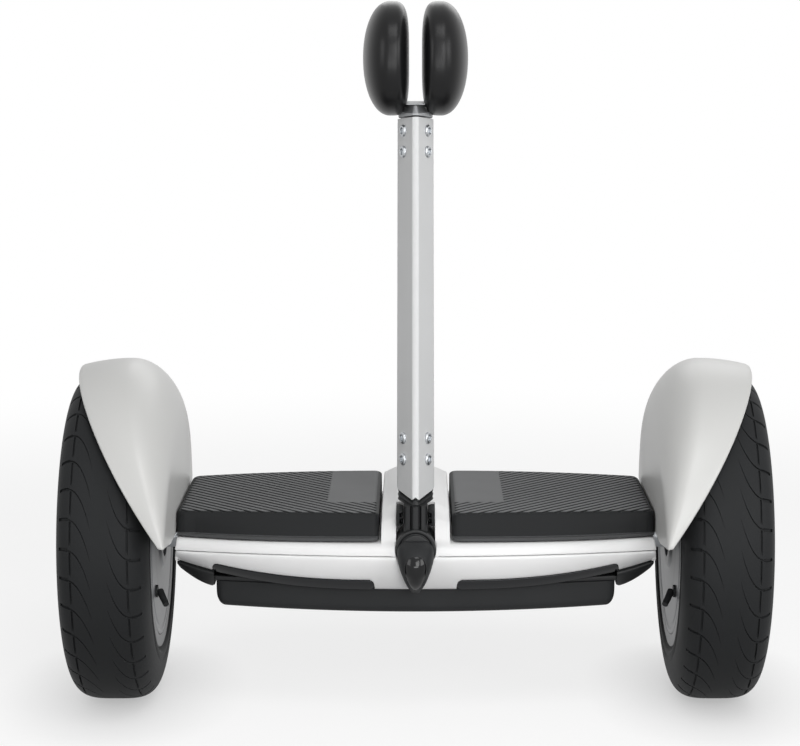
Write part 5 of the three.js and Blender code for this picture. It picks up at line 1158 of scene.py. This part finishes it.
head = lofted(stem_rings(head_places, head_ribs[:, None, None], head_slopes, foot_sag * head_share))
piece("steering_neck_casting", [neck, collar, head], cast_black, "steering", "cast_black", ("steering_neck",),
      crease=40)

gaiter_in, gaiter_out, gaiter_front, gaiter_rear = 9.6, 14.7, -80.0, -55.0
gaiter_low, gaiter_high, gaiter_ribs, gaiter_fold = 156.0, 168.0, 5, 2.3


def gaiter_rings():
    """Ribs stacked up the slot: the inner side swings in and out as a cosine of the height."""
    y = np.concatenate([[gaiter_front, gaiter_front + 0.3, gaiter_front + 0.9], np.linspace(-78, -57, 8),
                        [gaiter_rear - 0.9, gaiter_rear - 0.3, gaiter_rear]])
    pull = np.interp(np.minimum(y - gaiter_front, gaiter_rear - y), [0, 0.3, 0.9], [0.9, 0.35, 0])[:, None]
    z = np.linspace(gaiter_low, gaiter_high, gaiter_ribs * 12 + 1)[None, :]
    swing = 0.5 - 0.5 * np.cos(2 * np.pi * gaiter_ribs * (z - gaiter_low) / (gaiter_high - gaiter_low))
    inner = gaiter_in + gaiter_fold - gaiter_fold * swing ** 0.7
    inner = np.minimum(inner + pull, gaiter_out - 0.5)
    side = stacked(inner, y[:, None], z)
    wall = np.array([gaiter_out, 0, 0]) + side[:, ::-1] * (0, 1, 1)
    return lofted(np.concatenate([side, wall[:, ::6]], axis=1))


# Soft black rubber: fully matt, with a patchy grey bloom.
soft_rubber = skinned("soft_black_rubber", ("#1d1e1f", "#2c2d2e"), (120.0, 4.0),
                      {"Roughness": 0.7, "IOR": 1.5, "Specular IOR Level": 0.15})
gaiters = pair("dust_gaiter", [gaiter_rings()], soft_rubber, deck_bodies, "black_rubber", crease=60)
for gaiter, sign in zip(gaiters, (1, -1)):
    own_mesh(gaiter)

# Nose and lamp.
# A moulded black hood closes the front of the pivot. It swells forward and narrows to a blunt tip, and a
# gloss black window fills the almond in its face.

nose_top, nose_height, nose_half, nose_depth, nose_back = 146.0, 39.5, 14.4, 20.0, -89.3
nose_bluntness = 0.9
nose_rows = np.array([(0, 0.625, 0.25), (0.063, 0.875, 0.55), (0.2, 1, 0.85), (0.38, 0.965, 1),
                      (0.58, 0.82, 1), (0.785, 0.6, 0.8), (0.924, 0.4, 0.5), (1, 0.2, 0.3)])


def nose_share(down, column):
    """A share at a place down the nose: straight runs between the rows, averaged over a short reach."""
    reach = np.linspace(-0.045, 0.045, 9)
    return np.mean([np.interp(down + step, nose_rows[:, 0], nose_rows[:, column]) for step in reach], axis=0)


def nose_rings():
    """Half-round sections down the nose, closed behind by a flat back."""
    down = (1 - np.cos(np.linspace(0, np.pi, 49))) / 2
    turn = np.linspace(0, np.pi, 49)[None, :]
    z = (nose_top - nose_height * down)[:, None]
    half = (nose_half * nose_share(down, 1))[:, None]
    depth = (nose_depth * nose_share(down, 2))[:, None]
    tuck = deck_front(0.0) + skirt_in(0.0, np.maximum(z, skirt_low_z)) - gap
    back = np.where(z < seam_z, np.minimum(tuck, nose_back + skirt_tuck), nose_back)
    front = stacked(half * np.cos(turn), nose_back - depth * np.sin(turn) ** nose_bluntness, z)
    rear = stacked(half * np.array([-1.0, 0, 1.0]), back, z)
    return lofted(np.concatenate([front, rear], axis=1))


piece("nose_cover_skin", [nose_rings()], black_abs, "chassis", "black_plastic", ("nose_cover",), crease=45)

lamp_top, lamp_low, lamp_half, lamp_widest, lamp_pinch = 138.0, 110.0, 8.6, 0.36, 0.25
lamp_raise, lamp_seat = 0.28, 1.5


def lamp_grid():
    """The window: an almond outline drawn in towards its middle, laid on the nose and raised a little."""
    turn = full_turn(72)
    in_share = np.array([0.02, 0.2, 0.4, 0.6, 0.78, 0.9, 0.96, 1.0])[:, None]
    middle = lamp_top - (lamp_top - lamp_low) * lamp_widest
    up = np.cos(turn)
    reach = np.where(up > 0, lamp_top - middle, middle - lamp_low)
    outline_z = middle + reach * up
    outline_x = lamp_half * np.sin(turn) * (1 - lamp_pinch * np.clip(-up, 0, 1) ** 1.5)
    x = outline_x * in_share
    z = middle + (outline_z - middle) * in_share
    down = (nose_top - z) / nose_height
    half = nose_half * nose_share(down, 1)
    depth = nose_depth * nose_share(down, 2)
    sine = np.sqrt(np.clip(1 - (x / half) ** 2, 0, 1))
    surface = nose_back - depth * sine ** nose_bluntness
    raised = lamp_raise * np.sqrt(np.clip(1 - in_share ** 6, 0, 1))
    face = stacked(x, surface - raised, z)
    seat = stacked(x[-1], surface[-1] + lamp_seat, z[-1])[None]
    middle_point = face[:1] * 0 + face[0].mean(0)
    seat_point = seat * 0 + seat[0].mean(0)
    return np.concatenate([middle_point, face, seat, seat_point])


# Gloss black ABS, polished in the mould: near-black with sharp reflections.
gloss_black = polished_plastic("gloss_black_abs", "#0c0d0f", 0.1)
piece("lamp_window_face", [lamp_grid()], gloss_black, "chassis", "gloss_black", ("lamp_window",), crease=45)

# Top bracket.
# A grey painted casting caps the stem: a spigot inside the tube, a yoke that narrows upward out of a
# paler collar, and an arm into each pad. A pale moulded cover fills the space between the pads.

# Grey ABS, moulded: a light satin grey.
grey_abs = coated("moulded_abs_grey", "#b0b2b4", "#b8babc", 0.45)
yoke_low, yoke_height, yoke_half, yoke_depth = 466.1, 9.6, 13.6, 19.0
yoke_rows = softened([(0, 0.97, 0.98), (0.04, 1, 1), (0.37, 1, 1), (0.42, 0.96, 0.97), (0.5, 0.94, 0.965),
                      (1, 0.6, 0.86)], 0.05, 3)
stem_top_y = stem_foot_y + (stem_top_z - stem_foot_z) * math.tan(math.radians(stem_lean))
yoke_loop = stem_section(np.array([stem_top_width]))[0]
yoke_grid = stacked(
    yoke_loop[None, :, 0] * yoke_half * yoke_rows[:, 1:2] / (stem_top_width / 2),
    stem_top_y + yoke_loop[None, :, 1] * yoke_depth * yoke_rows[:, 2:] / (stem_depth / 2),
    yoke_low + yoke_height * yoke_rows[:, :1]
    + top_slope * yoke_loop[None, :, 1] * np.clip(1 - yoke_rows[:, :1] / 0.35, 0, 1))
block_chamfer = 0.3


def block(low, high, radius):
    """A box between two corners, with rounded upright edges and small chamfers above and below."""
    z = np.array([low[2], low[2] + block_chamfer, high[2] - block_chamfer, high[2]])
    drawn = np.array([block_chamfer, 0, 0, block_chamfer])
    left, right, front, rear = low[0] + drawn, high[0] - drawn, low[1] + drawn, high[1] - drawn
    return bar([(left, front, z), (right, front, z), (right, rear, z), (left, rear, z)], radius)


# Two blocks make an arm, and one root joins both arms. Each block is given by two opposite corners.
arm = [block((12, -16, 479.4), (16, 32, 530.9), 1.5), block((12, -4, 470.4), (16, 20, 490), 1.0)]
root = block((-15.7, -3.7, 470.7), (15.7, 19.7, 474.1), 1.0)
spigot_length, spigot_past = 46.0, 1.004
spigot_places = np.linspace(1 - spigot_length / stem_run, spigot_past, 6)
spigot = lofted(stem_rings(spigot_places, stem_wall + gap, 0 * spigot_places))
arms = [root, *arm, *[grid * (-1, 1, 1) for grid in arm]]
band_rows = yoke_rows[:, 0] < 0.4
casting = [lofted(yoke_grid[~band_rows]), spigot, *arms]
cap = block((-7.6, -15.6, 476.1), (7.6, 31.6, 477.3), 1.5)
piece("top_bracket_collar", [lofted(yoke_grid[band_rows])], grey_abs, "steering", "cast_black",
      ("top_bracket",), crease=40)
piece("top_bracket_casting", casting, cover_paint, "steering", "cast_black", ("top_bracket",), crease=40)
piece("bracket_cap_skin", [cap], grey_abs, "steering", "grey_plastic", ("bracket_cap",), crease=40)

# Knee pads.
# Self-skinned polyurethane foam, moulded over the bracket's arms. The inner face is flat, and the outer
# side swells so that the rider's knee can push it.

pad_inner, pad_outer, pad_crown, pad_y, pad_depth = 5.0, 41.2, 20.0, 8.0, 96.0
pad_low, pad_high = 466.9, 555.9
pad_round_out, pad_round_in, pad_round_deep = 2.1, 3.8, 2.3
pad_power_in, pad_power_out, pad_power_deep = 0.45, 0.95, 0.9


def swell(share, roundness):
    """A rounded square's reach at a share of its height."""
    return (1 - np.abs(share) ** roundness) ** (1 / roundness)


def pad_grid():
    """Rings up the pad: each ring is a rounded outline, flattened on the inner side."""
    share = np.sin(np.linspace(-np.pi / 2, np.pi / 2, 97))[:, None]
    turn = full_turn(144)
    across, along = np.cos(turn), np.sin(turn)
    out = (pad_outer - pad_crown) * swell(share, pad_round_out)
    inward = (pad_crown - pad_inner) * swell(share, pad_round_in)
    deep = pad_depth / 2 * swell(share, pad_round_deep)
    flat = np.sign(across) * np.abs(across) ** np.where(across < 0, pad_power_in, pad_power_out)
    x = pad_crown + np.where(across < 0, inward, out) * flat
    y = pad_y + deep * np.sign(along) * np.abs(along) ** pad_power_deep
    return stacked(x, y, (pad_low + pad_high) / 2 + (pad_high - pad_low) / 2 * share)


# Polyurethane foam skin: satin black with a gentle sheen, and a leather-like grain in cells of about 0.7 mm.
foam_skin = skinned("polyurethane_foam_skin", ("#161617", "#1b1b1c"), (25.0, 4.0),
                    {"Roughness": 0.3, "IOR": 1.5, "Specular IOR Level": 0.2},
                    ("ShaderNodeTexVoronoi", {"Scale": 1 / 0.0007}, 0.12, 0.0001))
for pad in pair("knee_pad", [pad_grid()], foam_skin, ("steering", "steering"), "knee_pad_skin", crease=60):
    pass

# What stays hidden, or shows only at the back.
# The CAD solids of these pieces stay as they are, in the materials of the real ones: sintered bronze bushes,
# a board under solder mask, cells in a heat-shrunk sleeve, amber film sensors, a moulded button.

bushing_bronze = coated("sintered_bronze", "#8a6a3a", "#a07c46", 0.45, 1.0)
circuit_green = coated("solder_mask_green", "#174a2c", "#1e5a36", 0.35)
cell_sleeve = coated("heat_shrink_blue", "#1d4f86", "#245c99", 0.3)
sensor_film = coated("sensor_film_amber", "#a5701f", "#b67d27", 0.4)
button_cap = coated("moulded_button_grey", "#8e9092", "#989a9c", 0.5)
for node_name, finish in {
        "pivot_shaft": turned_steel, "axle_clamp_left": zinc, "axle_clamp_right": zinc,
        "pivot_bush_front": bushing_bronze, "pivot_bush_rear": bushing_bronze, "control_board": circuit_green,
        "battery_cells": cell_sleeve, "rider_sensor_left": sensor_film, "rider_sensor_right": sensor_film,
        "power_button": button_cap, "charge_socket": black_abs, "charge_cover": soft_rubber,
        "centring_rubber": soft_rubber, "charge_window": smoked}.items():
    dress(node_name, finish)
